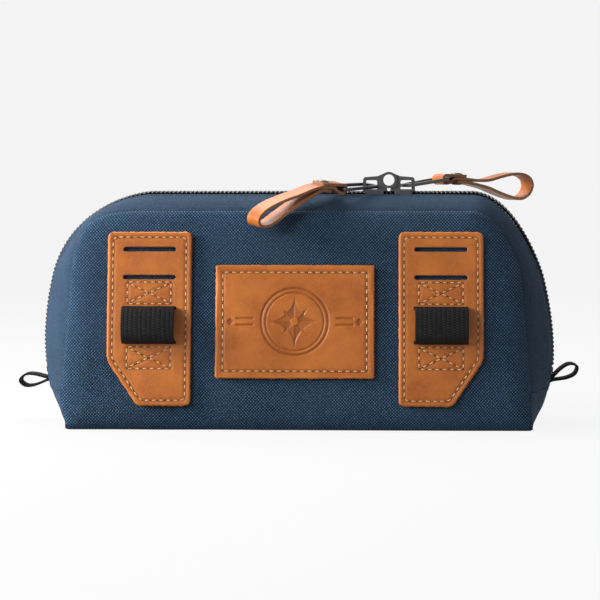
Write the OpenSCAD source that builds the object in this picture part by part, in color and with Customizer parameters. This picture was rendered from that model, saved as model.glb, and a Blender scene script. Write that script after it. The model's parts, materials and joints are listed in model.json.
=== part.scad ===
// Padded zip organizer: a boxy fabric pouch with a two-way zip over its top,
// leather lash patches, webbing loops and leather zip pulls.
// X runs along the zip, -Y is the front, Z is up; the origin is the middle of the base.

/* [Pouch] */
// Width across the gusset at its widest
width = 256; // [220:1:320]
// Height of the fabric under the zip
height = 113; // [108:1:150]
// Depth between the panel seams at the base
base_depth = 84; // [72:1:110]
// Depth between the panel seams at the top
top_depth = 48; // [44:1:70]
// How far the gusset stands out past the panel seam at each side
side_bulge = 14.5; // [8:0.5:20]
// How far the zip line stands above the panel seam
top_rise = 8.5; // [5:0.5:12]
// Width that each panel edge loses from the base to its shoulder
seam_taper = 5; // [0:0.5:10]
// Width of the slack corner on the left
left_run = 38; // [32:1:44]
// How far the left end tucks in at its foot
left_tuck = 3.4; // [0:0.1:5]
// Width of the full corner on the right
right_run = 22.5; // [20:0.5:32]
// Height of the shoulder, where the corners end and the sides begin
shoulder_z = 72; // [66:1:80]
// How far a panel crowns out past its seam
crown = 4.5; // [3:0.5:6]
// Width of the rolled edge of a panel
roll = 14; // [10:1:18]

/* [Fabric] */
// Thickness of the outer fabric
fabric_t = 0.9; // [0.6:0.1:1.2]
// Thickness of the wall foam
foam_t = 4; // [2:0.5:5]
// Thickness of the lining
lining_t = 0.5; // [0.3:0.1:0.8]
// Thickness of the board in the base
board_t = 2; // [1:0.5:3]
// Gap left between layers
layer_gap = 0.1; // [0.05:0.05:0.2]

/* [Zip] */
// Height of the gusset seam where the zip ends
zip_end_z = 18.5; // [17:0.1:26]
// Half the gap between the two folded fabric edges
zip_gap = 5.5; // [5.5:0.1:7]
// Width of one row of teeth
coil_w = 2.8; // [2:0.1:3.2]
// Height of the teeth
coil_h = 1.75; // [1.4:0.05:2.2]
// Thickness of the zip tape
tape_t = 0.6; // [0.4:0.1:0.8]
// How far a tape reaches under the gusset from the middle of the zip
tape_reach = 14; // [12:1:16]

/* [Sliders] */
// Place along the zip where the two sliders meet
meet_x = 45.3; // [20:0.1:50]
// Length from a slider's tail to the middle of its lock eye
eye_reach = 13.3; // [12:0.1:16]
// Radius of the hole in a lock eye
eye_r = 2.75; // [2:0.05:3]
// Width of the rim round a lock eye
eye_rim = 1.3; // [1:0.1:2]
// Thickness of one lock eye
eye_t = 1.7; // [1.2:0.1:2]
// Width of a slider
slider_w = 9.8; // [9:0.1:10.2]

/* [Pulls] */
// Length of a metal link between its bars
link_l = 21; // [17:0.5:24]
// Thickness of a metal link
link_t = 1.6; // [1.2:0.1:2]
// Width of a leather pull
strap_w = 9.6; // [8:0.1:11]
// Thickness of a leather pull
strap_t = 1.5; // [1.2:0.1:1.8]
// Distance from a link's bar to the rivet
rivet_s = 9; // [9:0.5:12]
// Radius of a rivet cap
rivet_cap_r = 3; // [2.4:0.1:3.4]
// Radius of a rivet shank
rivet_r = 1.3; // [1:0.1:1.5]

/* [Lash patches] */
// Width of a leather patch
patch_w = 40.5; // [36:0.5:46]
// Distance from a patch to the panel's shoulder
patch_side = 18.5; // [15:0.5:24]
// Distance from a patch to the foot of the panel
patch_foot = 12; // [8:0.5:16]
// Distance from a patch to the top seam
patch_head = 10; // [8:0.5:14]
// Thickness of the leather
leather_t = 2.2; // [1.8:0.1:2.6]
// Width of the cut corner
cut_w = 15; // [10:1:18]
// Height of the cut corner
cut_h = 22; // [16:1:26]
// Width of the lash webbing
web_w = 25.4; // [20:0.1:27]
// Thickness of the lash webbing
web_t = 1; // [0.8:0.1:1.1]
// How far a webbing loop stands out
loop_out = 10; // [6:0.5:13]
// Height of a webbing loop
loop_h = 18; // [14:0.5:20]

/* [Badge] */
// Gap from the badge to each patch
badge_gap = 11.5; // [8:0.5:16]
// Height of the badge
badge_h = 54.5; // [44:0.5:60]
// Height of the badge's foot above the base
badge_z = 25; // [18:0.5:30]

/* [Side tabs] */
// Width of a side tab
tab_w = 9; // [7:0.5:10]
// Length of a side tab
tab_l = 15.5; // [11:0.5:18]
// Height of a tab's loop
tab_h = 6.5; // [5:0.5:9]

/* [Pocket] */
// Width of the inside pocket
pocket_w = 180; // [140:1:190]
// Height of the inside pocket
pocket_h = 60; // [50:1:66]
// Depth of the inside pocket
pocket_d = 6.5; // [5:0.1:8]

/* [Hidden] */
$fn = 32;

navy = [0.12, 0.22, 0.36];
tan_leather = [0.72, 0.42, 0.18];
black = [0.06, 0.06, 0.07];
grey = [0.45, 0.46, 0.48];
white_foam = [0.9, 0.9, 0.88];
gold_thread = [0.8, 0.6, 0.35];

half_w = width / 2;
half_d = base_depth / 2;
top_half_d = top_depth / 2;
seam_h = height - top_rise;          // height of the top seam of a panel
panel_half_w = half_w - side_bulge;  // half width of a panel at its foot
shoulder_x = panel_half_w - seam_taper;
floor_t = 1;                         // thickness of the base panel
foot_z = floor_t;                    // height of the foot of every wall
seam_gap = 0.15;                     // clearance between sewn edges
lean = atan((half_d - top_half_d) / seam_h);
belly_w = 5;                         // how far the belly's handle stands out
tuck_w = 1.5;                        // how far the base stands out past the panel
lining_seam = 1.6;                   // distance from a gusset lining to the panel seam
lining_edge = 8;                     // distance from a gusset lining to the zip's middle
lining_d = fabric_t + tape_t + 3 * layer_gap;  // depth of the gusset lining's outer face

// ---- outlines, as [x, z] points ----

function bezier(p, t) = pow(1 - t, 3) * p[0] + 3 * t * pow(1 - t, 2) * p[1]
    + 3 * t * t * (1 - t) * p[2] + t * t * t * p[3];
function mix(a, b, t) = a * (1 - t) + b * t;
function reversed(list) = [for (i = [len(list) - 1:-1:0]) list[i]];
function mirrored(list) = [for (p = list) [-p[0], p[1]]];

zip_shoulder_x = half_w - 7;
// How far each handle of a corner's curves reaches: along and down the seam, along and down the zip.
left_ease = [0.66, 0.95, 0.21, 0.8];
right_ease = [0.48, 0.28, 0.6, 0.1];
function corner(run, top_z, end_x, lean_x, along, down) =
    let (flat = shoulder_x - run, drop = top_z - shoulder_z)
    [[flat, top_z], [flat + along * (end_x - flat), top_z],
        [end_x - lean_x * down, shoulder_z + down * drop], [end_x, shoulder_z]];
function seam_corner(run, ease) = corner(run, seam_h, shoulder_x, 1.2, ease[0], ease[1]);
function zip_corner(run, ease) = corner(run, height, zip_shoulder_x, 10, ease[2], ease[3]);
seam_side = [[shoulder_x, shoulder_z], [shoulder_x + 0.2, shoulder_z - 4],
    [panel_half_w - 1, 20], [panel_half_w, foot_z]];
zip_side = [[zip_shoulder_x, shoulder_z], [half_w - 0.3, shoulder_z - 26],
    [half_w + belly_w - 2.5, 11], [panel_half_w + tuck_w, foot_z]];

side_table_steps = 40;
function side_table(curve) = [for (k = [side_table_steps:-1:0])
    let (p = bezier(curve, k / side_table_steps)) [p[1], p[0]]];
seam_table = side_table(seam_side);
zip_table = side_table(zip_side);

top_steps = 4;
corner_steps = 8;
function levels(from, to, steps) = [for (k = [1:steps]) mix(from, to, k / steps)];
// How far each line of the left end tucks in at a height, as [z, share of left_tuck].
seam_tuck = [[1, 1], [4, 0.94], [8, 0.6], [14, 0.1], [20, 0]];
zip_tuck = [[1, 1], [5, 0.97], [9, 0.9], [18, 0.58], [30, 0.52], [42, 0.3], [60, 0.09], [72, 0]];
function seam_x(z, left) = lookup(z, seam_table) - (left ? left_tuck * lookup(z, seam_tuck) : 0);
function zip_x(z, left) = lookup(z, zip_table) - (left ? left_tuck * lookup(z, zip_tuck) : 0);
function half_outline(corner, sides) = concat(
    [for (k = [0:top_steps - 1]) [corner[0][0] * k / top_steps, corner[0][1]]],
    [for (k = [0:corner_steps]) bezier(corner, k / corner_steps)], sides);
function arch(left, right) = concat(reversed(mirrored(left)), [for (i = [1:len(right) - 1]) right[i]]);
function seam_arch(ends) = arch(
    half_outline(seam_corner(left_run, left_ease), [for (z = ends) [seam_x(z, true), z]]),
    half_outline(seam_corner(right_run, right_ease), [for (z = ends) [seam_x(z, false), z]]));
function zip_arch(ends) = arch(
    half_outline(zip_corner(left_run, left_ease), [for (z = ends) [zip_x(z, true), z]]),
    half_outline(zip_corner(right_run, right_ease), [for (z = ends) [zip_x(z, false), z]]));

// Moves a line of points to the right of its direction of travel, which is inwards here.
function inset(line, d) = [for (i = [0:len(line) - 1])
    let (a = line[max(i - 1, 0)], b = line[min(i + 1, len(line) - 1)], t = (b - a) / norm(b - a))
    line[i] + d * [t[1], -t[0]]];

// ---- the gusset's surface ----

function seam_y(z) = half_d - (half_d - top_half_d) * z / seam_h;
function on_gusset(seam, zip, seam_z, y, side) =
    let (v = 1 - abs(y) / seam_y(seam_z), s = sin(90 * max(0, v)), p = mix(seam, zip, s))
    [side * p[0], y, p[1]];

// A grid of points on the gusset at depth d, from from_y to to_y off the zip's middle. A from_y of 0
// starts at from_seam off the panel seam instead, and a negative to_y ends that far off the seam.
function gusset_grid(seam, zip, d, from_seam, from_y, to_y, steps) =
    let (s = inset(seam, d), z = inset(zip, d))
    [for (i = [0:len(seam) - 1])
        let (edge = seam_y(seam[i][1]), start = from_y > 0 ? from_y : edge - from_seam,
            end = to_y > 0 ? to_y : edge + to_y)
        [for (j = [0:steps]) on_gusset(s[i], z[i], seam[i][1], -mix(start, end, j / steps), 1)]];

// A solid between two grids of points that have the same rows and columns.
module slab(outer, inner) {
    rows = len(outer);
    cols = len(outer[0]);
    points = concat([for (r = outer) for (p = r) p], [for (r = inner) for (p = r) p]);
    function o(r, c) = r * cols + c;
    function n(r, c) = rows * cols + r * cols + c;
    faces = concat(
        [for (r = [0:rows - 2]) for (c = [0:cols - 2]) each [
            [o(r, c), o(r, c + 1), o(r + 1, c + 1)], [o(r, c), o(r + 1, c + 1), o(r + 1, c)],
            [n(r, c), n(r + 1, c + 1), n(r, c + 1)], [n(r, c), n(r + 1, c), n(r + 1, c + 1)]]],
        [for (c = [0:cols - 2]) each [
            [o(0, c), n(0, c), n(0, c + 1)], [o(0, c), n(0, c + 1), o(0, c + 1)],
            [o(rows - 1, c), n(rows - 1, c + 1), n(rows - 1, c)],
            [o(rows - 1, c), o(rows - 1, c + 1), n(rows - 1, c + 1)]]],
        [for (r = [0:rows - 2]) each [
            [o(r, 0), o(r + 1, 0), n(r + 1, 0)], [o(r, 0), n(r + 1, 0), n(r, 0)],
            [o(r, cols - 1), n(r + 1, cols - 1), o(r + 1, cols - 1)],
            [o(r, cols - 1), n(r, cols - 1), n(r + 1, cols - 1)]]]);
    polyhedron(points, faces, convexity = 6);
}

// A band of the front half of the gusset, between two depths under its surface.
module gusset_band(end_z, d0, d1, from_seam, from_y, to_y, steps) {
    ends = levels(shoulder_z, end_z, 5);
    seam = seam_arch(ends);
    zip = zip_arch(ends);
    slab(gusset_grid(seam, zip, d0, from_seam, from_y, to_y, steps),
        gusset_grid(seam, zip, d1, from_seam, from_y, to_y, steps));
}

module at_rear() mirror([0, 1, 0]) children();

module gusset() gusset_band(zip_end_z, 0, fabric_t, seam_gap, 0, zip_gap, 5);
module gusset_lining() gusset_band(zip_end_z, lining_d, lining_d + lining_t, lining_seam, 0, lining_edge, 3);

binding_w = 8;
binding_t = 1.2;
binding_seam = 6.5;                  // distance from the binding to the panel seam
binding_d = lining_d + lining_t + 0.5;
module seam_binding() gusset_band(zip_end_z, binding_d, binding_d + binding_t,
    binding_seam, 0, -binding_seam - binding_w, 1);

// ---- panels ----

mid_z = (seam_h + foot_z) / 2;
half_h = (seam_h - foot_z) / 2;
corner_r = 3;      // radius of a panel's lower corners
foot_steps = 6;
function lower_corner(reach) = [for (a = [20:35:90])
    [reach - corner_r * (1 - cos(a)), foot_z + corner_r * (1 - sin(a))]];
function panel_loop() =
    let (left_foot = panel_half_w - left_tuck,
        foot = [for (k = [1:foot_steps - 1]) [mix(panel_half_w - corner_r, corner_r - left_foot,
            k / foot_steps), foot_z]])
    concat(seam_arch(levels(shoulder_z, foot_z + corner_r, 7)), lower_corner(panel_half_w), foot,
        reversed(mirrored(lower_corner(left_foot))));
function shrink(p, e) = [p[0] * (1 - e / panel_half_w), mid_z + (p[1] - mid_z) * (1 - e / half_h)];

// One ring of a panel: a is the angle round its rolled edge, d the depth under its surface.
function ring(loop, a, d) =
    let (n = norm([crown * cos(a), roll * sin(a)]),
        e = roll * (1 - cos(a)) + d * crown * cos(a) / n,
        b = crown * sin(a) - d * roll * sin(a) / n)
    [for (p = loop) let (q = shrink(p, e)) [q[0], -seam_y(q[1]) - b, q[1]]];
function flat_ring(loop, a, b) =
    [for (p = loop) let (q = shrink(p, roll * (1 - cos(a)))) [q[0], -seam_y(q[1]) - b, q[1]]];

// A solid between two stacks of rings, closed at the inner ring by a flat face.
module ring_slab(outer, inner) {
    count = len(outer);
    n = len(outer[0]);
    points = concat([for (r = outer) for (p = r) p], [for (r = inner) for (p = r) p]);
    function o(k, i) = k * n + i % n;
    function q(k, i) = count * n + k * n + i % n;
    faces = concat(
        [for (k = [0:count - 2]) for (i = [0:n - 1]) each [
            [o(k, i), o(k, i + 1), o(k + 1, i + 1)], [o(k, i), o(k + 1, i + 1), o(k + 1, i)],
            [q(k, i), q(k + 1, i + 1), q(k, i + 1)], [q(k, i), q(k + 1, i), q(k + 1, i + 1)]]],
        [for (i = [0:n - 1]) each [
            [o(0, i + 1), o(0, i), q(0, i)], [o(0, i + 1), q(0, i), q(0, i + 1)]]],
        [[for (i = [0:n - 1]) o(count - 1, i)], [for (i = [n - 1:-1:0]) q(count - 1, i)]]);
    polyhedron(points, faces, convexity = 6);
}

module panel() {
    loop = panel_loop();
    turns = [0, 18, 38, 62, 90];
    ring_slab([for (a = turns) ring(loop, a, 0)], [for (a = turns) ring(loop, a, fabric_t)]);
}

foam_turns = [50, 68, 90];
module foam() {
    loop = panel_loop();
    ring_slab([for (a = foam_turns) ring(loop, a, fabric_t + layer_gap)],
        [for (a = foam_turns) flat_ring(loop, a, crown - fabric_t - layer_gap - foam_t)]);
}

// Local frame of the front panel's flat face: x along the pouch, y up the panel, z outwards.
module on_front() translate([0, -half_d - crown, 0]) rotate([90 - lean, 0, 0]) children();
function up(z) = z / cos(lean);      // height along the panel's face

lining_face = fabric_t + foam_t + 3 * layer_gap;
lining_inset = 4;
module lining() on_front() translate([0, 0, -lining_face - lining_t]) linear_extrude(lining_t)
    polygon([for (p = panel_loop()) let (q = shrink(p, lining_inset)) [q[0], up(q[1])]]);

// ---- base and lower sides ----

base_steps = 8;
function base_edge(reach, side) = [for (k = [-base_steps:base_steps])
    let (y = reach * k / base_steps,
        p = on_gusset([seam_x(foot_z, false), foot_z], [zip_x(foot_z, false), foot_z], foot_z, y, 1))
    [side * (p[0] - (side < 0 ? left_tuck : 0)), y]];

module base_panel() color(navy) linear_extrude(floor_t)
    polygon(concat(base_edge(half_d - seam_gap, 1), reversed(base_edge(half_d - seam_gap, -1))));

board_inset = 3;
module base_plate(z, t) translate([-panel_half_w + left_tuck + board_inset, -half_d + board_inset, z])
    cube([2 * (panel_half_w - board_inset) - left_tuck, 2 * (half_d - board_inset), t]);
module base_board() color(black) base_plate(floor_t + layer_gap, board_t);
base_lining_z = floor_t + board_t + 2 * layer_gap;
module base_lining() color(grey) base_plate(base_lining_z, lining_t);

side_steps = 5;
function side_grid(top_z, from_z, d, reach, left) =
    let (zs = [for (k = [0:side_steps]) mix(top_z, from_z, pow(k / side_steps, 0.8))],
        seam = inset([for (z = zs) [seam_x(z, left), z]], d),
        zip = inset([for (z = zs) [zip_x(z, left), z]], d))
    [for (i = [0:side_steps]) [for (k = [-base_steps:base_steps])
        on_gusset(seam[i], zip[i], zs[i], (seam_y(zs[i]) - reach) * k / base_steps, 1)]];
side_top_z = zip_end_z - 1;
side_lining_d = fabric_t + 3 * layer_gap;
module side_panel(left) slab(side_grid(side_top_z, foot_z + layer_gap, 0, seam_gap, left),
    side_grid(side_top_z, foot_z + layer_gap, fabric_t, seam_gap, left));
module side_lining(left) slab(
    side_grid(side_top_z, base_lining_z + 2, side_lining_d, lining_seam, left),
    side_grid(side_top_z, base_lining_z + 2, side_lining_d + lining_t, lining_seam, left));

// ---- zip ----

tape_d = fabric_t + 1.5 * layer_gap;
tape_edge = 0.9;      // distance from a tape's bare edge to the zip's middle
coil_edge = 0.5;      // distance from a row of teeth to the zip's middle
stop_h = 3;
tape_end_z = zip_end_z + 5.5;
module tape() gusset_band(tape_end_z, tape_d, tape_d + tape_t, 0, tape_reach, tape_edge, 3);
module coil() gusset_band(tape_end_z + stop_h + 0.3, tape_d - layer_gap - coil_h,
    tape_d - layer_gap, 0, coil_edge + coil_w, coil_edge, 1);
module zip_end_stops() color(black) for (side = [-1, 1]) {
    z0 = tape_end_z + 0.1;
    x0 = zip_x(z0 + stop_h / 2, side < 0);
    tilt = atan((zip_x(z0 + stop_h, side < 0) - zip_x(z0, side < 0)) / stop_h);
    mirror([side < 0 ? 1 : 0, 0, 0])
        translate([x0 - tape_d + layer_gap, 0, z0 + stop_h / 2]) rotate([0, tilt, 0])
            translate([0, -coil_edge - coil_w, -stop_h / 2])
                cube([coil_h, 2 * (coil_edge + coil_w), stop_h]);
}

// ---- flat shapes with rounded corners ----

// The outline of a polygon, counter-clockwise, with each corner rounded to radius r.
function rounded(points, r, steps = 4) = [for (i = [0:len(points) - 1])
    let (n = len(points), p = points[i], a = points[(i + n - 1) % n] - p,
        b = points[(i + 1) % n] - p, ua = a / norm(a), ub = b / norm(b),
        half = acos(ua * ub) / 2, cut = r / tan(half),
        centre = p + (ua + ub) / norm(ua + ub) * r / sin(half))
    for (k = [0:steps])
        let (q = mix(p + ua * cut, p + ub * cut, k / steps) - centre) centre + q / norm(q) * r];
function box_points(x, y, w, h) = [[x, y], [x + w, y], [x + w, y + h], [x, y + h]];

// A ribbon of thickness t along a line of points.
function ribbon(line, t) =
    let (n = len(line), normals = [for (i = [0:n - 1])
        let (u = line[min(i + 1, n - 1)] - line[max(i - 1, 0)]) [-u[1], u[0]] / norm(u)])
    concat([for (i = [0:n - 1]) line[i] + normals[i] * t / 2],
        [for (i = [n - 1:-1:0]) line[i] - normals[i] * t / 2]);
// A smooth curve through points.
function smooth(p, steps = 3) = concat([for (i = [0:len(p) - 2])
    let (a = p[max(i - 1, 0)], b = p[i], c = p[i + 1], d = p[min(i + 2, len(p) - 1)])
    for (k = [0:steps - 1]) let (t = k / steps)
        0.5 * (2 * b + (c - a) * t + (2 * a - 5 * b + 4 * c - d) * t * t
            + (3 * b - a - 3 * c + d) * t * t * t)], [p[len(p) - 1]]);

// ---- lash patches ----

patch_x = shoulder_x - patch_side - patch_w;      // inner edge of a patch
patch_y = up(patch_foot);
patch_h = up(seam_h - patch_head) - patch_y;
patch_r = 3;
patch_lift = 0.05;                                // gap between the leather and the panel
slot_h = 2.2;
first_slot = 8.5;                                 // distances down from the head of a patch
second_slot = 22;
upper_box = 24.4;
upper_box_h = 10.4;
loop_top = 36;
tail_l = 12;
box_w = 21;
lower_box = loop_top + loop_h + 1.5;
slot_x = patch_x + (patch_w - web_w) / 2;
patch_top = patch_y + patch_h;
slot_clear = 0.3;                                 // clearance round the webbing in its slots

function patch_outline() = [[patch_x, patch_y], [patch_x + patch_w - cut_w, patch_y],
    [patch_x + patch_w, patch_y + cut_h], [patch_x + patch_w, patch_top], [patch_x, patch_top]];

module lash_patch() on_front() translate([0, 0, patch_lift]) difference() {
    linear_extrude(leather_t) difference() {
        polygon(rounded(patch_outline(), patch_r));
        for (drop = [first_slot, second_slot]) polygon(rounded(
            box_points(slot_x, patch_top - drop - slot_h / 2, web_w, slot_h), slot_h / 2 - 0.05));
        for (drop = [loop_top, loop_top + loop_h - web_t - 2 * slot_clear])
            polygon(box_points(slot_x - slot_clear, patch_top - drop - web_t - 2 * slot_clear,
                web_w + 2 * slot_clear, web_t + 2 * slot_clear));
    }
    // room for the webbing tails behind the leather
    translate([slot_x - slot_clear, patch_top - loop_top - loop_h - tail_l - slot_clear, -1])
        cube([web_w + 2 * slot_clear, loop_h + 2 * (tail_l + slot_clear), 1 + web_t + 2 * layer_gap]);
}

function loop_line() =
    let (a = patch_top - loop_top - slot_clear - web_t / 2, b = a - loop_h + web_t + 2 * slot_clear,
        low = layer_gap + web_t / 2, rise = leather_t + 1)
    concat([[a + tail_l, low], [a + 1.2, low]],
        smooth([[a + 0.3, low + 0.4], [a, rise], [a - 0.4, loop_out * 0.62], [a - 2.6, loop_out * 0.9],
            [(a + b) / 2, loop_out], [b + 2.6, loop_out * 0.9], [b + 0.4, loop_out * 0.62],
            [b, rise], [b - 0.3, low + 0.4]], 2),
        [[b - 1.2, low], [b - tail_l, low]]);
module webbing_loop() on_front() translate([slot_x, 0, 0]) rotate([90, 0, 90])
    linear_extrude(web_w) polygon(ribbon(loop_line(), web_t));

thread_w = 0.7;
thread_t = 0.35;
thread_inset = 2.4;
leather_top = patch_lift + leather_t;
function inner_patch(d) =
    let (k = d * tan(90 / 2 - atan(cut_w / cut_h) / 2), m = d * tan(atan(cut_w / cut_h) / 2))
    [[patch_x + d, patch_y + d], [patch_x + patch_w - cut_w - k, patch_y + d],
        [patch_x + patch_w - d, patch_y + cut_h + m], [patch_x + patch_w - d, patch_top - d],
        [patch_x + d, patch_top - d]];
module thread_ring(outer, inner) linear_extrude(thread_t) difference() {
    polygon(outer);
    polygon(inner);
}
module stitched_box(y) {
    x = patch_x + (patch_w - box_w) / 2;
    corners = box_points(x, y, box_w, upper_box_h);
    thread_ring(corners, box_points(x + thread_w, y + thread_w, box_w - 2 * thread_w,
        upper_box_h - 2 * thread_w));
    across = atan(upper_box_h / box_w);
    long = norm([box_w, upper_box_h]) - 4;
    for (turn = [-across, across]) translate([x + box_w / 2, y + upper_box_h / 2, 0])
        rotate([0, 0, turn]) translate([-long / 2, -thread_w / 2, 0]) cube([long, thread_w, thread_t]);
}
module patch_thread() on_front() translate([0, 0, leather_top + 0.02]) {
    thread_ring(rounded(inner_patch(thread_inset), 1.5),
        rounded(inner_patch(thread_inset + thread_w), 1));
    stitched_box(patch_top - upper_box - upper_box_h);
    stitched_box(patch_top - lower_box - upper_box_h);
}

// ---- badge ----

badge_w = 2 * (patch_x - badge_gap);
badge_inset = 3.3;
module badge_shape(d, r) polygon(rounded(box_points(-badge_w / 2 + d, up(badge_z) + d,
    badge_w - 2 * d, badge_h - 2 * d), r));
module badge() color(tan_leather) on_front() translate([0, 0, patch_lift])
    linear_extrude(leather_t) badge_shape(0, 1.2);
module badge_thread() color(gold_thread) on_front() translate([0, 0, leather_top + 0.02])
    linear_extrude(thread_t) difference() {
        badge_shape(badge_inset, 0.8);
        badge_shape(badge_inset + thread_w, 0.5);
    }

// ---- side tabs ----

tab_t = 1;
tab_z = zip_end_z + 2;
tab_root = 2.5;                      // length of the tail inside the pouch
function tab_line() = let (g = tab_t / 2 + 0.06) concat(
    [[-tab_root, g], [0, g]],
    smooth([[1.5, g + 0.15], [0.5 * tab_l, 0.42 * tab_h], [0.8 * tab_l, 0.42 * tab_h],
        [tab_l - tab_t / 2, 0], [0.8 * tab_l, -0.42 * tab_h], [0.5 * tab_l, -0.42 * tab_h],
        [1.5, -g - 0.15]], 3),
    [[0, -g], [-tab_root, -g]]);
module side_tab(tilt, left) translate([zip_x(tab_z, left), tab_w / 2, tab_z]) rotate([0, -tilt, 0])
    rotate([90, 0, 0]) linear_extrude(tab_w) polygon(ribbon(tab_line(), tab_t));

// ---- inside pocket ----

pocket_t = 0.6;
pocket_y = up(14);
pocket_face = lining_face + lining_t + layer_gap;
module inner_pocket() color(grey) at_rear() on_front()
    translate([-pocket_w / 2, pocket_y, -pocket_face - pocket_d - pocket_t]) difference() {
        cube([pocket_w, pocket_h, pocket_d + pocket_t]);
        translate([pocket_t, pocket_t, pocket_t])
            cube([pocket_w - 2 * pocket_t, pocket_h, pocket_d + 1]);
    }
elastic_h = 7;
elastic_t = 0.6;
module pocket_elastic() color(black) at_rear() on_front()
    translate([-pocket_w / 2, pocket_y + pocket_h - elastic_h + elastic_t,
        -pocket_face - pocket_d - pocket_t - elastic_t - layer_gap]) difference() {
        cube([pocket_w, elastic_h, pocket_t + 2 * (elastic_t + layer_gap)]);
        translate([-1, -1, elastic_t])
            cube([pocket_w + 2, elastic_h - elastic_t + 1, pocket_t + 2 * layer_gap]);
        translate([-1, -1, elastic_t])
            cube([1 + pocket_t + layer_gap, elastic_h - elastic_t + 1, pocket_d]);
        translate([pocket_w - pocket_t - layer_gap, -1, elastic_t])
            cube([1 + pocket_t + layer_gap, elastic_h - elastic_t + 1, pocket_d]);
    }

// ---- sliders ----

coil_top = coil_h + layer_gap - tape_d;           // height of the teeth above the fabric line
plate_z = coil_top + 0.2;
plate_t = 0.9;
sole_z = -(tape_d + tape_t) - 0.7;                // top of the plate under the zip
sole_t = 1;
body_l = eye_reach - 0.7;                         // length of a slider's plates
post_w = 2.1;
window_l = 5.4;
window_h = 4.4;
bridge_w = 2.8;
bar_h = 1.5;
eye_z = 6.4;                                      // height of the lock eye above the fabric line
eye_gap = 0.1;

// A slider with its tail at x = 0 and its nose towards +x.
module slider() {
    plan = rounded([[0.4, -slider_w / 2 + 1.2], [body_l * 0.6, -slider_w / 2], [body_l, -slider_w / 2 + 0.8],
        [body_l, slider_w / 2 - 0.8], [body_l * 0.6, slider_w / 2], [0.4, slider_w / 2 - 1.2]], 0.7);
    translate([0, 0, plate_z]) linear_extrude(plate_t) polygon(plan);
    translate([0, 0, sole_z - sole_t]) linear_extrude(sole_t) polygon(plan);
    for (side = [-1, 1]) translate([2, side > 0 ? slider_w / 2 - 1 : 0.2 - slider_w / 2, -tape_d + 0.35])
        cube([body_l - 4, 0.8, plate_z + tape_d - 0.35]);
    translate([body_l - 3.4, -0.3, sole_z - 0.5]) cube([2.4, 0.6, plate_z - sole_z + 1]);
    top = plate_z + plate_t;
    translate([0, bridge_w / 2, 0]) rotate([90, 0, 0]) linear_extrude(bridge_w) difference() {
        polygon([[0.4, top - 0.3], [0.6, top + window_h + 0.6], [1.3, top + window_h + bar_h],
            [post_w + window_l + 1, top + window_h + bar_h + 0.6],
            [post_w + window_l + 1, top - 0.3]]);
        polygon(rounded(box_points(post_w, top - 1, window_l, window_h + 1), 0.6));
    }
    translate([0, -eye_gap, 0]) rotate([90, 0, 0]) linear_extrude(eye_t) difference() {
        union() {
            translate([eye_reach, eye_z]) circle(r = eye_r + eye_rim);
            polygon([[post_w + window_l + 0.2, top - 0.2],
                [post_w + window_l + 0.2, top + window_h + bar_h + 0.5], [eye_reach - 2, eye_z + eye_r + eye_rim - 0.6], [eye_reach, eye_z],
                [eye_reach - 1, top - 0.2]]);
        }
        translate([eye_reach, eye_z]) circle(r = eye_r);
    }
}
// The left slider faces right, and the right one is the same piece turned round.
module at_left_slider() translate([meet_x - eye_reach, 0, height]) children();
module at_right_slider() translate([meet_x + eye_reach, 0, height]) rotate([0, 0, 180]) children();

// ---- pulls ----

left_yaw = 37;                       // turn of the left pull towards the front
right_yaw = 30;                      // turn of the right pull towards the rear
left_pitch = -3;                     // rise of each link away from its slider
right_pitch = 8;
left_roll = -8;                      // the left pull lies with its front edge low
left_bend = 5;                       // rise of each strap against its link
right_bend = -10;
pivot_x = post_w + window_l / 2;     // distance from a slider's tail to the link's bar
pivot_z = plate_z + plate_t + link_t / 2 + 1.1;
link_rim = 1.6;
link_room = strap_w + 0.8;           // width between the link's arms at the leather
link_neck = 7.4;                     // width between the arms at the slider

// Frame of a pull: origin at the link's inner bar, x away from the slider, y across.
module at_left_pull() translate([meet_x - eye_reach + pivot_x, 0, height + pivot_z])
    rotate([0, 0, 180 + left_yaw]) rotate([0, -left_pitch, 0]) rotate([left_roll, 0, 0]) children();
module at_right_pull() translate([meet_x + eye_reach - pivot_x, 0, height + pivot_z])
    rotate([0, 0, right_yaw]) rotate([0, -right_pitch, 0]) children();

module pull_link() translate([0, 0, -link_t / 2]) linear_extrude(link_t) difference() {
    polygon(rounded([[-link_rim / 2, -link_neck / 2 - link_rim], [link_l - 4, -link_room / 2 - link_rim],
        [link_l + link_rim / 2, -link_room / 2 - link_rim], [link_l + link_rim / 2, link_room / 2 + link_rim],
        [link_l - 4, link_room / 2 + link_rim], [-link_rim / 2, link_neck / 2 + link_rim]], 1.2));
    polygon(rounded([[link_rim / 2, -link_neck / 2], [link_l - 4.2, -link_room / 2],
        [link_l - link_rim / 2, -link_room / 2], [link_l - link_rim / 2, link_room / 2],
        [link_l - 4.2, link_room / 2], [link_rim / 2, link_neck / 2]], 0.8));
}

wrap_r = norm([link_rim, link_t]) / 2 + 0.1 + strap_t / 2;  // radius of the strap round the bar
ply = strap_t + 0.1;                 // distance between two layers of the strap
top_ply = wrap_r;
mid_ply = top_ply - ply;
low_ply = mid_ply - ply;
strap_end = rivet_s + 3.5;
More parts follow.
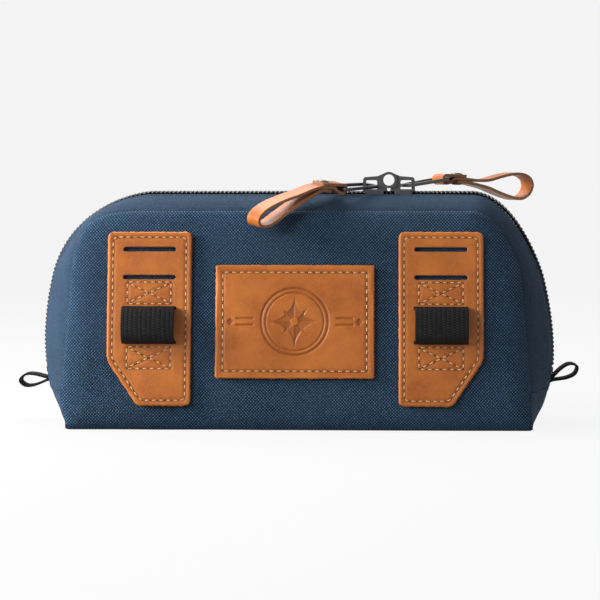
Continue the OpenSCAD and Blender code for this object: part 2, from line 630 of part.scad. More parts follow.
// The strap's line: its short end, the turn round the bar, and the loop that comes back below.
function strap_line(loop) = concat([[strap_end, top_ply], [rivet_s, top_ply], [2, top_ply]],
    [for (a = [90:30:270]) wrap_r * [cos(a), sin(a)]],
    [[1.9, -wrap_r + 0.3], [3.7, -0.75], [5.4, mid_ply]],
    smooth(concat([[rivet_s + 4.4, mid_ply]], loop, [[rivet_s + 3.7, low_ply]])),
    [[rivet_s + 3.2, low_ply], [6.4, low_ply]]);
left_loop = [[19, -1.2], [25, -3.6], [32, -5.9], [39.5, -8.9], [45, -12.3], [47.6, -16], [46, -19],
    [40.8, -18.6], [33.2, -13.6], [26.5, -9.2], [20.5, -5.4]];
right_loop = [[19, 0], [26, 0.4], [34, 2.6], [41, 4], [47, 3.8], [51, 1.7], [52.2, -1.8], [50.2, -6],
    [45.5, -8.4], [39, -7.6], [31, -5.3], [24, -3.1]];

module leather_pull(loop, bend) translate([link_l, 0, 0]) rotate([0, -bend, 0]) difference() {
    translate([0, strap_w / 2, 0]) rotate([90, 0, 0]) linear_extrude(strap_w)
        polygon(ribbon(strap_line(loop), strap_t));
    translate([rivet_s, 0, low_ply - strap_t]) cylinder(r = rivet_r + 0.1, h = 3 * ply + strap_t);
}
module rivet(bend) translate([link_l, 0, 0]) rotate([0, -bend, 0]) translate([rivet_s, 0, 0]) {
    head = top_ply + strap_t / 2 + 0.05;
    tail = low_ply - strap_t / 2 - 0.05;
    translate([0, 0, head]) cylinder(r = rivet_cap_r, h = 0.7);
    translate([0, 0, tail - 0.6]) cylinder(r = rivet_cap_r - 0.3, h = 0.6);
    translate([0, 0, tail - 0.3]) cylinder(r = rivet_r, h = head - tail + 0.6);
}

// ---- the pieces ----

base_panel();
base_board();
base_lining();
color(navy) at_rear() panel();  // back_panel
color(white_foam) at_rear() foam();  // back_foam
color(grey) at_rear() lining();  // back_lining
color(navy) at_rear() gusset();  // rear_gusset
color(grey) at_rear() gusset_lining();  // rear_gusset_lining
color(black) at_rear() seam_binding();  // rear_seam_binding
color(black) at_rear() tape();  // zip_tape_rear
color(black) at_rear() coil();  // zip_coil_rear
color(navy) mirror([1, 0, 0]) side_panel(true);  // side_panel_left
color(navy) side_panel(false);  // side_panel_right
color(grey) mirror([1, 0, 0]) side_lining(true);  // side_lining_left
color(grey) side_lining(false);  // side_lining_right
inner_pocket();
pocket_elastic();
zip_end_stops();
color(black) mirror([1, 0, 0]) side_tab(-4, true);  // side_tab_left
color(black) side_tab(27, false);  // side_tab_right
color(navy) panel();  // front_panel
color(white_foam) foam();  // front_foam
color(grey) lining();  // front_lining
color(navy) gusset();  // front_gusset
color(grey) gusset_lining();  // front_gusset_lining
color(black) seam_binding();  // front_seam_binding
color(black) tape();  // zip_tape_front
color(black) coil();  // zip_coil_front
color(tan_leather) mirror([1, 0, 0]) lash_patch();  // lash_patch_left
color(tan_leather) lash_patch();  // lash_patch_right
color(black) mirror([1, 0, 0]) webbing_loop();  // webbing_loop_left
color(black) webbing_loop();  // webbing_loop_right
badge();
color(gold_thread) mirror([1, 0, 0]) patch_thread();  // patch_thread_left
color(gold_thread) patch_thread();  // patch_thread_right
badge_thread();
color(black) at_left_slider() slider();  // slider_left
color(black) at_right_slider() slider();  // slider_right
color(black) at_left_pull() pull_link();  // pull_link_left
color(black) at_right_pull() pull_link();  // pull_link_right
color(tan_leather) at_left_pull() leather_pull(left_loop, left_bend);  // leather_pull_left
color(tan_leather) at_right_pull() leather_pull(right_loop, right_bend);  // leather_pull_right
color(black) at_left_pull() rivet(left_bend);  // rivet_left
color(black) at_right_pull() rivet(right_bend);  // rivet_right
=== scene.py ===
"""Soft pieces and finishes of a padded zip organizer pouch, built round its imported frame."""

from __future__ import annotations

import json
import logging
import math
import random
from collections.abc import Callable, Sequence
from dataclasses import dataclass, field
from enum import Enum

import bmesh
import bpy
import numpy as np
from mathutils import Matrix, Vector

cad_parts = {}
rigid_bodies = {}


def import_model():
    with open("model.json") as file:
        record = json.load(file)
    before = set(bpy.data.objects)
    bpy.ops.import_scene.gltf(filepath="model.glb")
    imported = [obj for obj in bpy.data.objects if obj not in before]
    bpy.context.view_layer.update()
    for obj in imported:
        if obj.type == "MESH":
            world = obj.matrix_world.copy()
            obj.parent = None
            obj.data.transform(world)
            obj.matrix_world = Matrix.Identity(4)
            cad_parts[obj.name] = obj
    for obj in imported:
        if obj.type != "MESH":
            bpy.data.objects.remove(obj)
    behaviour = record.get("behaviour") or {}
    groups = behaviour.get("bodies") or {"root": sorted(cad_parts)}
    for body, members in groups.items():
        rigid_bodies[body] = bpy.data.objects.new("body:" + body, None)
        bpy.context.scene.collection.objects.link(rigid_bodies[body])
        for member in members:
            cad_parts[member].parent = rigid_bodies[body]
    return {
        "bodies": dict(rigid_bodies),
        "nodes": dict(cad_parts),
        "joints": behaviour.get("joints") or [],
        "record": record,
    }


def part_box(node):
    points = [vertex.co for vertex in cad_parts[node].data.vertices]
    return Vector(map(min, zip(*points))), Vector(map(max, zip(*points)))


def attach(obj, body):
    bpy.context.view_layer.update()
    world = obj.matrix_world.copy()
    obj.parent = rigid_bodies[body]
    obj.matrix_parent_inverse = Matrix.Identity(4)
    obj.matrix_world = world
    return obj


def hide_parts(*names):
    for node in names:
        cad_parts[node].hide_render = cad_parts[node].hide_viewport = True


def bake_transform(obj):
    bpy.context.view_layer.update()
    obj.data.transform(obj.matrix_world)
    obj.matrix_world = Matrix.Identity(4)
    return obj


LOG = logging.getLogger("pouch")
MM = 0.001
Array = np.ndarray
Colour = tuple[float, float, float]
Place = Callable[[Array, Array], Array]


class Side(Enum):
    """Which side of the pouch a piece is on, as the sign of its X."""

    LEFT = -1
    RIGHT = 1

    @property
    def word(self) -> str:
        """The side's name, as the frame's nodes spell it."""
        return self.name.lower()


class Half(Enum):
    """Which half of the pouch a piece is on, as the sign of its Y."""

    FRONT = -1
    REAR = 1

    @property
    def word(self) -> str:
        """The half's name, as most of the frame's nodes spell it."""
        return self.name.lower()

    @property
    def wall_word(self) -> str:
        """The half's name, as the frame's flat walls spell it."""
        return "front" if self is Half.FRONT else "back"


# ---------------------------------------------------------------- finishes


class Shader:
    """A material and the nodes that are added to it one by one."""

    def __init__(self, name: str) -> None:
        """Starts a material with a plain Principled shader.

        Args:
            name: the material's name.
        """
        self.material = bpy.data.materials.new(name)
        self.material.use_nodes = True
        self.tree = self.material.node_tree
        self.base = self.tree.nodes["Principled BSDF"]

    def add(self, kind: str, **inputs: object) -> bpy.types.Node:
        """Adds a node and fills its inputs.

        Args:
            kind: the node's type, without the ShaderNode prefix.
            inputs: socket names, with underscores for spaces, and a value or a socket for each.

        Returns:
            The new node.
        """
        node = self.tree.nodes.new("ShaderNode" + kind)
        for key, value in inputs.items():
            self.put(node.inputs[key.replace("_", " ")], value)
        return node

    def put(self, target: bpy.types.NodeSocket, value: object) -> None:
        """Sets a socket, or links it where the value is another node's output."""
        if isinstance(value, bpy.types.NodeSocket):
            self.tree.links.new(value, target)
        else:
            target.default_value = value

    def math(self, operation: str, *values: object) -> bpy.types.NodeSocket:
        """One step of arithmetic.

        Args:
            operation: the Math node's operation.
            values: its one to three operands, as numbers or sockets.

        Returns:
            The result's socket.
        """
        node = self.tree.nodes.new("ShaderNodeMath")
        node.operation = operation
        for target, value in zip(node.inputs, values):
            self.put(target, value)
        return node.outputs[0]

    def mix(self, share: object, first: object, second: object) -> bpy.types.NodeSocket:
        """A blend of two colours.

        Args:
            share: how much of the second colour shows, from 0 to 1.
            first: a colour or a socket.
            second: a colour or a socket.

        Returns:
            The blended colour's socket.
        """
        node = self.tree.nodes.new("ShaderNodeMix")
        node.data_type = "RGBA"
        for index, value in ((0, share), (6, first), (7, second)):
            if isinstance(value, tuple) and len(value) == 3:
                value = (*value, 1.0)
            self.put(node.inputs[index], value)
        return node.outputs[2]

    def spot(self, scale: float, detail: float = 3.0, rough: float = 0.55) -> bpy.types.NodeSocket:
        """Cloudy variation over the piece, from 0 to 1.

        Args:
            scale: how many clouds there are in a metre.
            detail: how many finer layers are added.
            rough: how strong the finer layers are.

        Returns:
            The cloud's socket.
        """
        place = self.add("TexCoord").outputs["Object"]
        node = self.add("TexNoise", Vector=place, Scale=scale, Detail=detail, Roughness=rough)
        return node.outputs["Fac"]

    def band(self, value: object, low: float, high: float) -> bpy.types.NodeSocket:
        """Stretches a value so that low becomes 0 and high becomes 1, and clamps it."""
        node = self.add("MapRange", Value=value)
        node.clamp = True
        node.inputs["From Min"].default_value = low
        node.inputs["From Max"].default_value = high
        return node.outputs[0]

    def mark(self, name: str) -> bpy.types.NodeSocket:
        """A number that the piece's own mesh stores at each point."""
        node = self.tree.nodes.new("ShaderNodeAttribute")
        node.attribute_name = name
        return node.outputs["Fac"]

    def relief(self, height: object, depth: float, strength: float = 1.0,
               under: object = None) -> bpy.types.NodeSocket:
        """Turns a height into bumps.

        Args:
            height: the height's socket, from 0 to 1.
            depth: what a height of 1 is, in metres.
            strength: how much of the bump shows.
            under: another relief's socket that this one lies on.

        Returns:
            The bumped normal's socket.
        """
        node = self.add("Bump", Height=height, Strength=strength, Distance=depth)
        if under is not None:
            self.put(node.inputs["Normal"], under)
        return node.outputs[0]


@dataclass(frozen=True)
class Cloth:
    """A plain-woven fabric that reads its own UV map, in millimetres."""

    name: str
    dark: Colour
    light: Colour
    warp: float
    weft: float
    depth: float = 0.22
    rough: float = 0.85
    sheen: float = 0.06
    wander: float = 0.5
    grid: float = 0.0

    def make(self) -> bpy.types.Material:
        """Builds the material.

        Returns:
            The woven fabric.
        """
        s = Shader(self.name)
        chart = s.add("UVMap").outputs[0]
        drift = s.add("TexNoise", Vector=chart, Scale=0.09, Detail=2.0).outputs["Color"]
        shift = s.add("VectorMath", Vector=chart)
        shift.operation = "MULTIPLY_ADD"
        s.put(shift.inputs[0], drift)
        shift.inputs[1].default_value = (self.wander, self.wander, 0)
        s.put(shift.inputs[2], chart)
        split = s.add("SeparateXYZ", Vector=shift.outputs[0])
        across = s.math("DIVIDE", split.outputs[0], self.warp)
        along = s.math("DIVIDE", split.outputs[1], self.weft)
        wave = s.math("MULTIPLY", s.math("SINE", s.math("MULTIPLY", across, math.pi)),
                      s.math("SINE", s.math("MULTIPLY", along, math.pi)))
        height = s.math("POWER", s.math("ABSOLUTE", wave), 0.5)
        # Lighter crossings on one set of yarns: partly the yarn's own tone, partly painted highlight on the
        # yarn crowns.
        over = s.band(wave, -0.35, 0.55)
        cell = s.add("CombineXYZ", X=s.math("FLOOR", across), Y=s.math("FLOOR", along))
        yarn = s.add("TexWhiteNoise", Vector=cell.outputs[0]).outputs["Value"]
        lift = s.math("MULTIPLY", over, s.math("MULTIPLY_ADD", yarn, 0.5, 0.6))
        # Painted shade: where the weave is low, between the yarns, the colour is darkened towards 0.35 of the
        # dark colour.
        gap_shade = s.band(height, 0.0, 0.55)
        colour = s.mix(lift, self.dark, self.light)
        colour = s.mix(gap_shade, tuple(0.35 * c for c in self.dark), colour)
        fade = s.band(s.spot(22.0), 0.3, 0.75)
        colour = s.mix(s.math("MULTIPLY", fade, 0.12), colour, tuple(min(1.0, 1.3 * c) for c in self.light))
        if self.grid:
            lines = [s.math("LESS_THAN", s.math("PINGPONG", split.outputs[k], self.grid / 2), 0.16)
                     for k in (0, 1)]
            rip = s.math("MAXIMUM", lines[0], lines[1])
            colour = s.mix(s.math("MULTIPLY", rip, 0.5), colour, self.light)
            height = s.math("ADD", height, rip)
        s.put(s.base.inputs["Base Color"], colour)
        bumps = s.relief(height, self.depth * MM, 0.8)
        fuzz = s.add("TexNoise", Vector=chart, Scale=3.5, Detail=4.0, Roughness=0.7).outputs["Fac"]
        s.put(s.base.inputs["Normal"], s.relief(fuzz, 0.08 * MM, 0.6, bumps))
        s.base.inputs["Roughness"].default_value = self.rough
        s.base.inputs["Sheen Weight"].default_value = self.sheen
        s.base.inputs["Sheen Roughness"].default_value = 0.45
        s.base.inputs["Sheen Tint"].default_value = (*self.light, 1.0)
        s.base.inputs["Specular IOR Level"].default_value = 0.12
        return s.material


@dataclass(frozen=True)
class Hide:
    """Vegetable-tanned leather: grain, tone, pressed lines and darker pores."""

    name: str
    tan: Colour
    deep: Colour
    raw: bool = False

    def make(self) -> bpy.types.Material:
        """Builds the material.

        Returns:
            The leather, or its raw cut edge where raw is set.
        """
        s = Shader(self.name)
        place = s.add("TexCoord").outputs["Object"]
        cloud = s.band(s.spot(55.0, 4.0, 0.6), 0.3, 0.72)
        colour = s.mix(cloud, self.deep, self.tan)
        fine = s.band(s.spot(700.0, 3.0, 0.65), 0.35, 0.7)
        colour = s.mix(s.math("MULTIPLY", fine, 0.22), colour, tuple(min(1.0, 1.35 * c) for c in self.tan))
        if self.raw:
            fibre = s.add("TexNoise", Vector=place, Scale=2600.0, Detail=5.0, Roughness=0.8).outputs["Fac"]
            colour = s.mix(s.band(fibre, 0.4, 0.65), colour, tuple(0.45 * c for c in self.deep))
            s.put(s.base.inputs["Normal"], s.relief(fibre, 0.35 * MM, 1.0))
            s.base.inputs["Roughness"].default_value = 0.95
            s.base.inputs["Sheen Weight"].default_value = 0.35
        else:
            pressed = s.band(s.mark("press"), 0.0, 1.0)
            colour = s.mix(s.math("MULTIPLY", pressed, 0.5), colour, tuple(0.42 * c for c in self.deep))
            worn = s.band(s.mark("worn"), 0.0, 1.0)
            rubbed = tuple(min(1.0, 1.45 * c) for c in self.tan)
            colour = s.mix(s.math("MULTIPLY", worn, 0.35), colour, rubbed)
            pores = s.add("TexVoronoi", Vector=place, Scale=1500.0)
            pores.feature = "DISTANCE_TO_EDGE"
            crease = s.band(pores.outputs["Distance"], 0.0, 0.2)
            grain = s.relief(crease, 0.05 * MM, 0.55)
            soft = s.relief(s.spot(260.0, 3.0), 0.18 * MM, 0.5, grain)
            s.put(s.base.inputs["Normal"], soft)
            gloss = s.math("MULTIPLY_ADD", fine, 0.16, 0.34)
            s.put(s.base.inputs["Roughness"], gloss)
            s.base.inputs["Coat Weight"].default_value = 0.05
            s.base.inputs["Coat Roughness"].default_value = 0.3
            s.base.inputs["Specular IOR Level"].default_value = 0.24
        s.put(s.base.inputs["Base Color"], colour)
        return s.material


@dataclass(frozen=True)
class Metal:
    """Black coated metal with a soft gloss and faint handling marks."""

    name: str
    colour: Colour = (0.018, 0.018, 0.02)

    def make(self) -> bpy.types.Material:
        """Builds the material.

        Returns:
            The coated metal.
        """
        s = Shader(self.name)
        haze = s.band(s.spot(420.0, 4.0, 0.7), 0.35, 0.7)
        s.put(s.base.inputs["Base Color"], s.mix(haze, self.colour, tuple(2.4 * c for c in self.colour)))
        s.put(s.base.inputs["Roughness"], s.math("MULTIPLY_ADD", haze, 0.14, 0.24))
        s.put(s.base.inputs["Normal"], s.relief(s.spot(900.0, 2.0), 0.04 * MM, 0.25))
        s.base.inputs["Metallic"].default_value = 0.35
        s.base.inputs["Coat Weight"].default_value = 0.5
        s.base.inputs["Coat Roughness"].default_value = 0.18
        return s.material


@dataclass(frozen=True)
class Grainy:
    """A plain material with a fine grain, for foam, board, teeth, thread and the floor."""

    name: str
    colour: Colour
    other: Colour
    scale: float = 800.0
    depth: float = 0.1
    rough: float = 0.8
    glow: float = 0.0

    def make(self) -> bpy.types.Material:
        """Builds the material.

        Returns:
            The grained material.
        """
        s = Shader(self.name)
        grain = s.band(s.spot(self.scale, 4.0, 0.6), 0.35, 0.68)
        s.put(s.base.inputs["Base Color"], s.mix(grain, self.colour, self.other))
        s.put(s.base.inputs["Normal"], s.relief(grain, self.depth * MM, 0.6))
        s.base.inputs["Roughness"].default_value = self.rough
        if self.glow:
            s.base.inputs["Emission Color"].default_value = (1, 1, 1, 1)
            s.base.inputs["Emission Strength"].default_value = self.glow
            s.base.inputs["Specular IOR Level"].default_value = 0.0
        return s.material


class Finishes:
    """Every material of the pouch, made once."""

    def __init__(self) -> None:
        """Builds the materials."""
        self.canvas = Cloth("navy_canvas", (0.003, 0.0085, 0.02), (0.050, 0.110, 0.190), 0.75, 0.8).make()
        self.twill = Cloth("navy_gusset_cloth", (0.005, 0.012, 0.026), (0.050, 0.098, 0.165), 0.5, 0.52,
                           0.14, 0.82, 0.15).make()
        self.lining = Cloth("grey_lining", (0.12, 0.125, 0.135), (0.24, 0.25, 0.27), 0.35, 0.35, 0.06,
                            0.7, 0.1, 0.1, 6.0).make()
        self.webbing = Cloth("black_webbing", (0.0035, 0.0035, 0.004), (0.022, 0.022, 0.023), 2.2, 0.6, 0.35,
                             0.75, 0.12, 0.05).make()
        self.grosgrain = Cloth("black_binding", (0.006, 0.006, 0.007), (0.035, 0.035, 0.038), 3.0, 0.35,
                               0.15, 0.8, 0.1, 0.05).make()
        self.tape = Cloth("zip_tape_cloth", (0.005, 0.005, 0.006), (0.028, 0.028, 0.03), 0.3, 0.5, 0.08,
                          0.85, 0.1, 0.05).make()
        self.leather = Hide("tan_leather", (0.46, 0.138, 0.018), (0.27, 0.064, 0.006)).make()
        self.raw_edge = Hide("raw_leather_edge", (0.46, 0.20, 0.07), (0.22, 0.075, 0.022), True).make()
        self.metal = Metal("black_metal").make()
        self.teeth = Grainy("zip_teeth", (0.008, 0.008, 0.009), (0.02, 0.02, 0.022), 900.0, 0.05, 0.32).make()
        self.thread = Grainy("gold_thread", (0.44, 0.21, 0.065), (0.70, 0.40, 0.16), 3000.0, 0.1, 0.6).make()
        # The needle holes' colour is painted shade: flat dark spots stand for the shade inside the holes.
        self.hole = Grainy("needle_hole", (0.05, 0.016, 0.005), (0.09, 0.03, 0.01), 900.0, 0.1, 0.9).make()
        self.navy_thread = Grainy("navy_thread", (0.018, 0.034, 0.066), (0.035, 0.06, 0.105), 3000.0,
                                  0.1, 0.7).make()
        self.foam = Grainy("white_foam", (0.72, 0.72, 0.70), (0.86, 0.86, 0.84), 500.0, 0.3, 0.95).make()
        self.board = Grainy("black_board", (0.012, 0.012, 0.013), (0.03, 0.03, 0.032), 300.0, 0.15,
                            0.6).make()
        self.floor = Grainy("pale_floor", (0.05, 0.05, 0.05), (0.051, 0.051, 0.051), 6.0, 0.0, 0.9,
                            0.885).make()


# ---------------------------------------------------------------- shapes


def bezier(points: Sequence[Sequence[float]], t: Array) -> Array:
    """Points on a cubic curve.

    Args:
        points: the curve's four control points.
        t: places along it, from 0 to 1.

    Returns:
        One row for each place.
    """
    p = np.array(points, float)
    t = np.asarray(t, float)[:, None]
    return (1 - t) ** 3 * p[0] + 3 * t * (1 - t) ** 2 * p[1] + 3 * t * t * (1 - t) * p[2] + t ** 3 * p[3]


def smooth_line(points: Sequence[Sequence[float]], count: int) -> Array:
    """A smooth line through points, with its points evenly spaced.

    Args:
        points: what the line passes through.
        count: how many points to return.

    Returns:
        An array of count rows.
    """
    p = np.array(points, float)
    rows = []
    for i in range(len(p) - 1):
        a, b, c, d = p[max(i - 1, 0)], p[i], p[i + 1], p[min(i + 2, len(p) - 1)]
        t = np.linspace(0, 1, 12, endpoint=False)[:, None]
        rows.append(0.5 * (2 * b + (c - a) * t + (2 * a - 5 * b + 4 * c - d) * t ** 2
                           + (3 * b - a - 3 * c + d) * t ** 3))
    return even_line(np.vstack([*rows, p[-1:]]), count)


def run_along(line: Array) -> Array:
    """The distance from a line's start to each of its points."""
    return np.r_[0, np.cumsum(np.linalg.norm(np.diff(line, axis=0), axis=1))]


def even_line(line: Array, count: int) -> Array:
    """The same line with count evenly spaced points."""
    run = run_along(line)
    at = np.linspace(0, run[-1], count)
    return np.stack([np.interp(at, run, line[:, k]) for k in range(line.shape[1])], 1)


def line_length(line: Array) -> float:
    """The length of a line of points."""
    return float(np.linalg.norm(np.diff(line, axis=0), axis=1).sum())


def smoothstep(x: Array) -> Array:
    """0 below 0, 1 above 1 and a smooth rise between."""
    x = np.clip(x, 0, 1)
    return x * x * (3 - 2 * x)


class Slack:
    """Gentle waves that stand for the slack of cloth."""

    def __init__(self, seed: int, size: float, height: float, count: int = 9) -> None:
        """Draws the waves.

        Args:
            seed: the number that fixes the draw.
            size: the length of a wave, in millimetres.
            height: the tallest rise, in millimetres.
            count: how many waves are added up.
        """
        draw = random.Random(seed)
        self.waves = []
        for _ in range(count):
            turn = draw.uniform(0, math.tau)
            rate = math.tau / (size * draw.uniform(0.7, 1.7))
            self.waves.append((rate * math.cos(turn), rate * math.sin(turn), draw.uniform(0, math.tau)))
        self.height = height * 1.6 / count

    def __call__(self, u: Array, v: Array) -> Array:
        """The rise at each place, in millimetres."""
        return self.height * sum(np.sin(a * u + b * v + c) for a, b, c in self.waves)


@dataclass
class PouchForm:
    """The pouch's outlines and walls, in millimetres, as the frame has them."""

    half_w: float = 128.0
    height: float = 113.0
    seam_h: float = 104.5
    half_d: float = 42.0
    top_half_d: float = 24.0
    panel_half_w: float = 113.5
    shoulder_x: float = 108.5
    shoulder_z: float = 72.0
    crown: float = 4.5
    roll: float = 14.0
    foot_z: float = 1.0
    zip_end_z: float = 18.5
    tuck: float = 1.5
    left_tuck: float = 3.4
    lean: float = field(init=False)
    arch: dict[str, Array] = field(init=False)

    def __post_init__(self) -> None:
        """Samples both outlines finely, from the left foot over the top to the right foot."""
        self.lean = math.atan((self.half_d - self.top_half_d) / self.seam_h)
        zip_x = self.half_w - 7
        ts = np.linspace(0, 1, 400)
        seam_side = bezier([[self.shoulder_x, 72], [self.shoulder_x + 0.2, 68],
                            [self.panel_half_w - 1, 20], [self.panel_half_w, 1]], ts)
        zip_side = bezier([[zip_x, 72], [self.half_w - 0.3, 46], [self.half_w + 2.5, 11],
                           [self.panel_half_w + self.tuck, 1]], ts)
        low = np.linspace(self.shoulder_z, self.foot_z, 120)[1:]
        sides = [np.stack([np.interp(-low, -c[:, 1], c[:, 0]), low], 1) for c in (seam_side, zip_side)]
        halves = []
        for run, ease in ((38.0, (0.66, 0.95, 0.21, 0.8)), (22.5, (0.48, 0.28, 0.6, 0.1))):
            left = not halves
            pair = []
            lines = ((self.seam_h, self.shoulder_x, 1.2), (self.height, zip_x, 10.0))
            for k, (top, end, tip) in enumerate(lines):
                flat = self.shoulder_x - run
                along, down = ease[2 * k], ease[2 * k + 1]
                corner = bezier([[flat, top], [flat + along * (end - flat), top],
                                 [end - tip * down, self.shoulder_z + down * (top - self.shoulder_z)],
                                 [end, self.shoulder_z]], np.linspace(0, 1, 90))
                straight = np.stack([np.linspace(0, flat, 60, endpoint=False), np.full(60, top)], 1)
                side = sides[k] - [1, 0] * self.tucked(low, k)[:, None] * left
                pair.append(np.vstack([straight, corner, side]))
            halves.append(pair)
        self.arch = {}
        for k, word in enumerate(("seam", "zip")):
            left = halves[0][k][::-1] * [-1, 1]
            line = np.vstack([left, halves[1][k][1:]])
            step = np.gradient(line, axis=0)
            step /= np.linalg.norm(step, axis=1)[:, None]
            self.arch[word] = line
            self.arch[word + "_in"] = np.stack([step[:, 1], -step[:, 0]], 1)
        run = run_along(self.arch["zip"])
        self.arch["run"] = run - np.interp(0, self.arch["zip"][:, 0], run)

    def tucked(self, z: Array, line: int) -> Array:
        """How far the left end is tucked in at a height.

        Args:
            z: the height.
            line: 0 for the panel's seam and 1 for the zip.

        Returns:
            The distance in millimetres.
        """
        heights = ((1, 4, 8, 14, 20), (1, 5, 9, 18, 30, 42, 60, 72))[line]
        shares = ((1, 0.94, 0.6, 0.1, 0), (1, 0.97, 0.9, 0.58, 0.52, 0.3, 0.09, 0))[line]
        return self.left_tuck * np.interp(z, heights, shares)

    def seam_y(self, z: Array) -> Array:
        """Half the depth between the panel seams at a height."""
        return self.half_d - (self.half_d - self.top_half_d) * z / self.seam_h

    def along(self, word: str, s: Array) -> Array:
        """Rows of one of the arch's tables at distances s along the zip from its middle."""
        table = self.arch[word]
        return np.stack([np.interp(s, self.arch["run"], table[:, k]) for k in (0, 1)], 1)

    def run_at(self, side: Side, z: float) -> float:
        """The distance along the zip at which one side's outline is at a height."""
        line = self.arch["zip"]
        keep = line[:, 0] * side.value > self.shoulder_x - 30
        zs, run = line[keep, 1], self.arch["run"][keep]
        order = np.argsort(zs)
        return float(np.interp(z, zs[order], run[order]))

    def wall(self, s: Array, y: Array, depth: Array) -> Array:
        """Points of the gusset's surface.

        Args:
            s: distances along the zip from its middle.
            y: places across, where 0 is the middle of the zip.
            depth: how far under the surface, towards the inside.

        Returns:
            One row for each place.
        """
        seam, edge = self.along("seam", s), self.along("zip", s)
        share = np.sin(np.pi / 2 * np.clip(1 - np.abs(y) / self.seam_y(seam[:, 1]), 0, 1))[:, None]
        depth = np.broadcast_to(depth, y.shape)[:, None]
        a = seam + depth * self.along("seam_in", s)
        b = edge + depth * self.along("zip_in", s)
        p = a * (1 - share) + b * share
        return np.stack([p[:, 0], y, p[:, 1]], 1)

    def face(self, x: Array, t: Array, n: Array, half: Half = Half.FRONT) -> Array:
        """Points by a panel's flat face.

        Args:
            x: places along the pouch.
            t: distances up the panel's face.
            n: distances out of it.
            half: which panel.

        Returns:
            One row for each place.
        """
        y = -(self.half_d + self.crown) + t * math.sin(self.lean) - n * math.cos(self.lean)
        z = t * math.cos(self.lean) + n * math.sin(self.lean)
        return np.stack(np.broadcast_arrays(x, -half.value * y, z), 1)

    def panel_loop(self, count: int = 260, corner: float = 3.0) -> Array:
        """A panel's closed outline as [x, z] rows, evenly spaced, from the left foot over the top."""
        seam = self.arch["seam"]
        seam = seam[seam[:, 1] >= self.foot_z + corner]
        turn = np.radians(np.linspace(0, 90, 12))
        right = np.stack([self.panel_half_w - corner * (1 - np.cos(turn)),
                          self.foot_z + corner * (1 - np.sin(turn))], 1)
        left = (right[::-1] - [self.left_tuck, 0]) * [-1, 1]
        loop = np.vstack([seam, right, left, seam[:1]])
        return even_line(loop, count + 1)


# ---------------------------------------------------------------- building


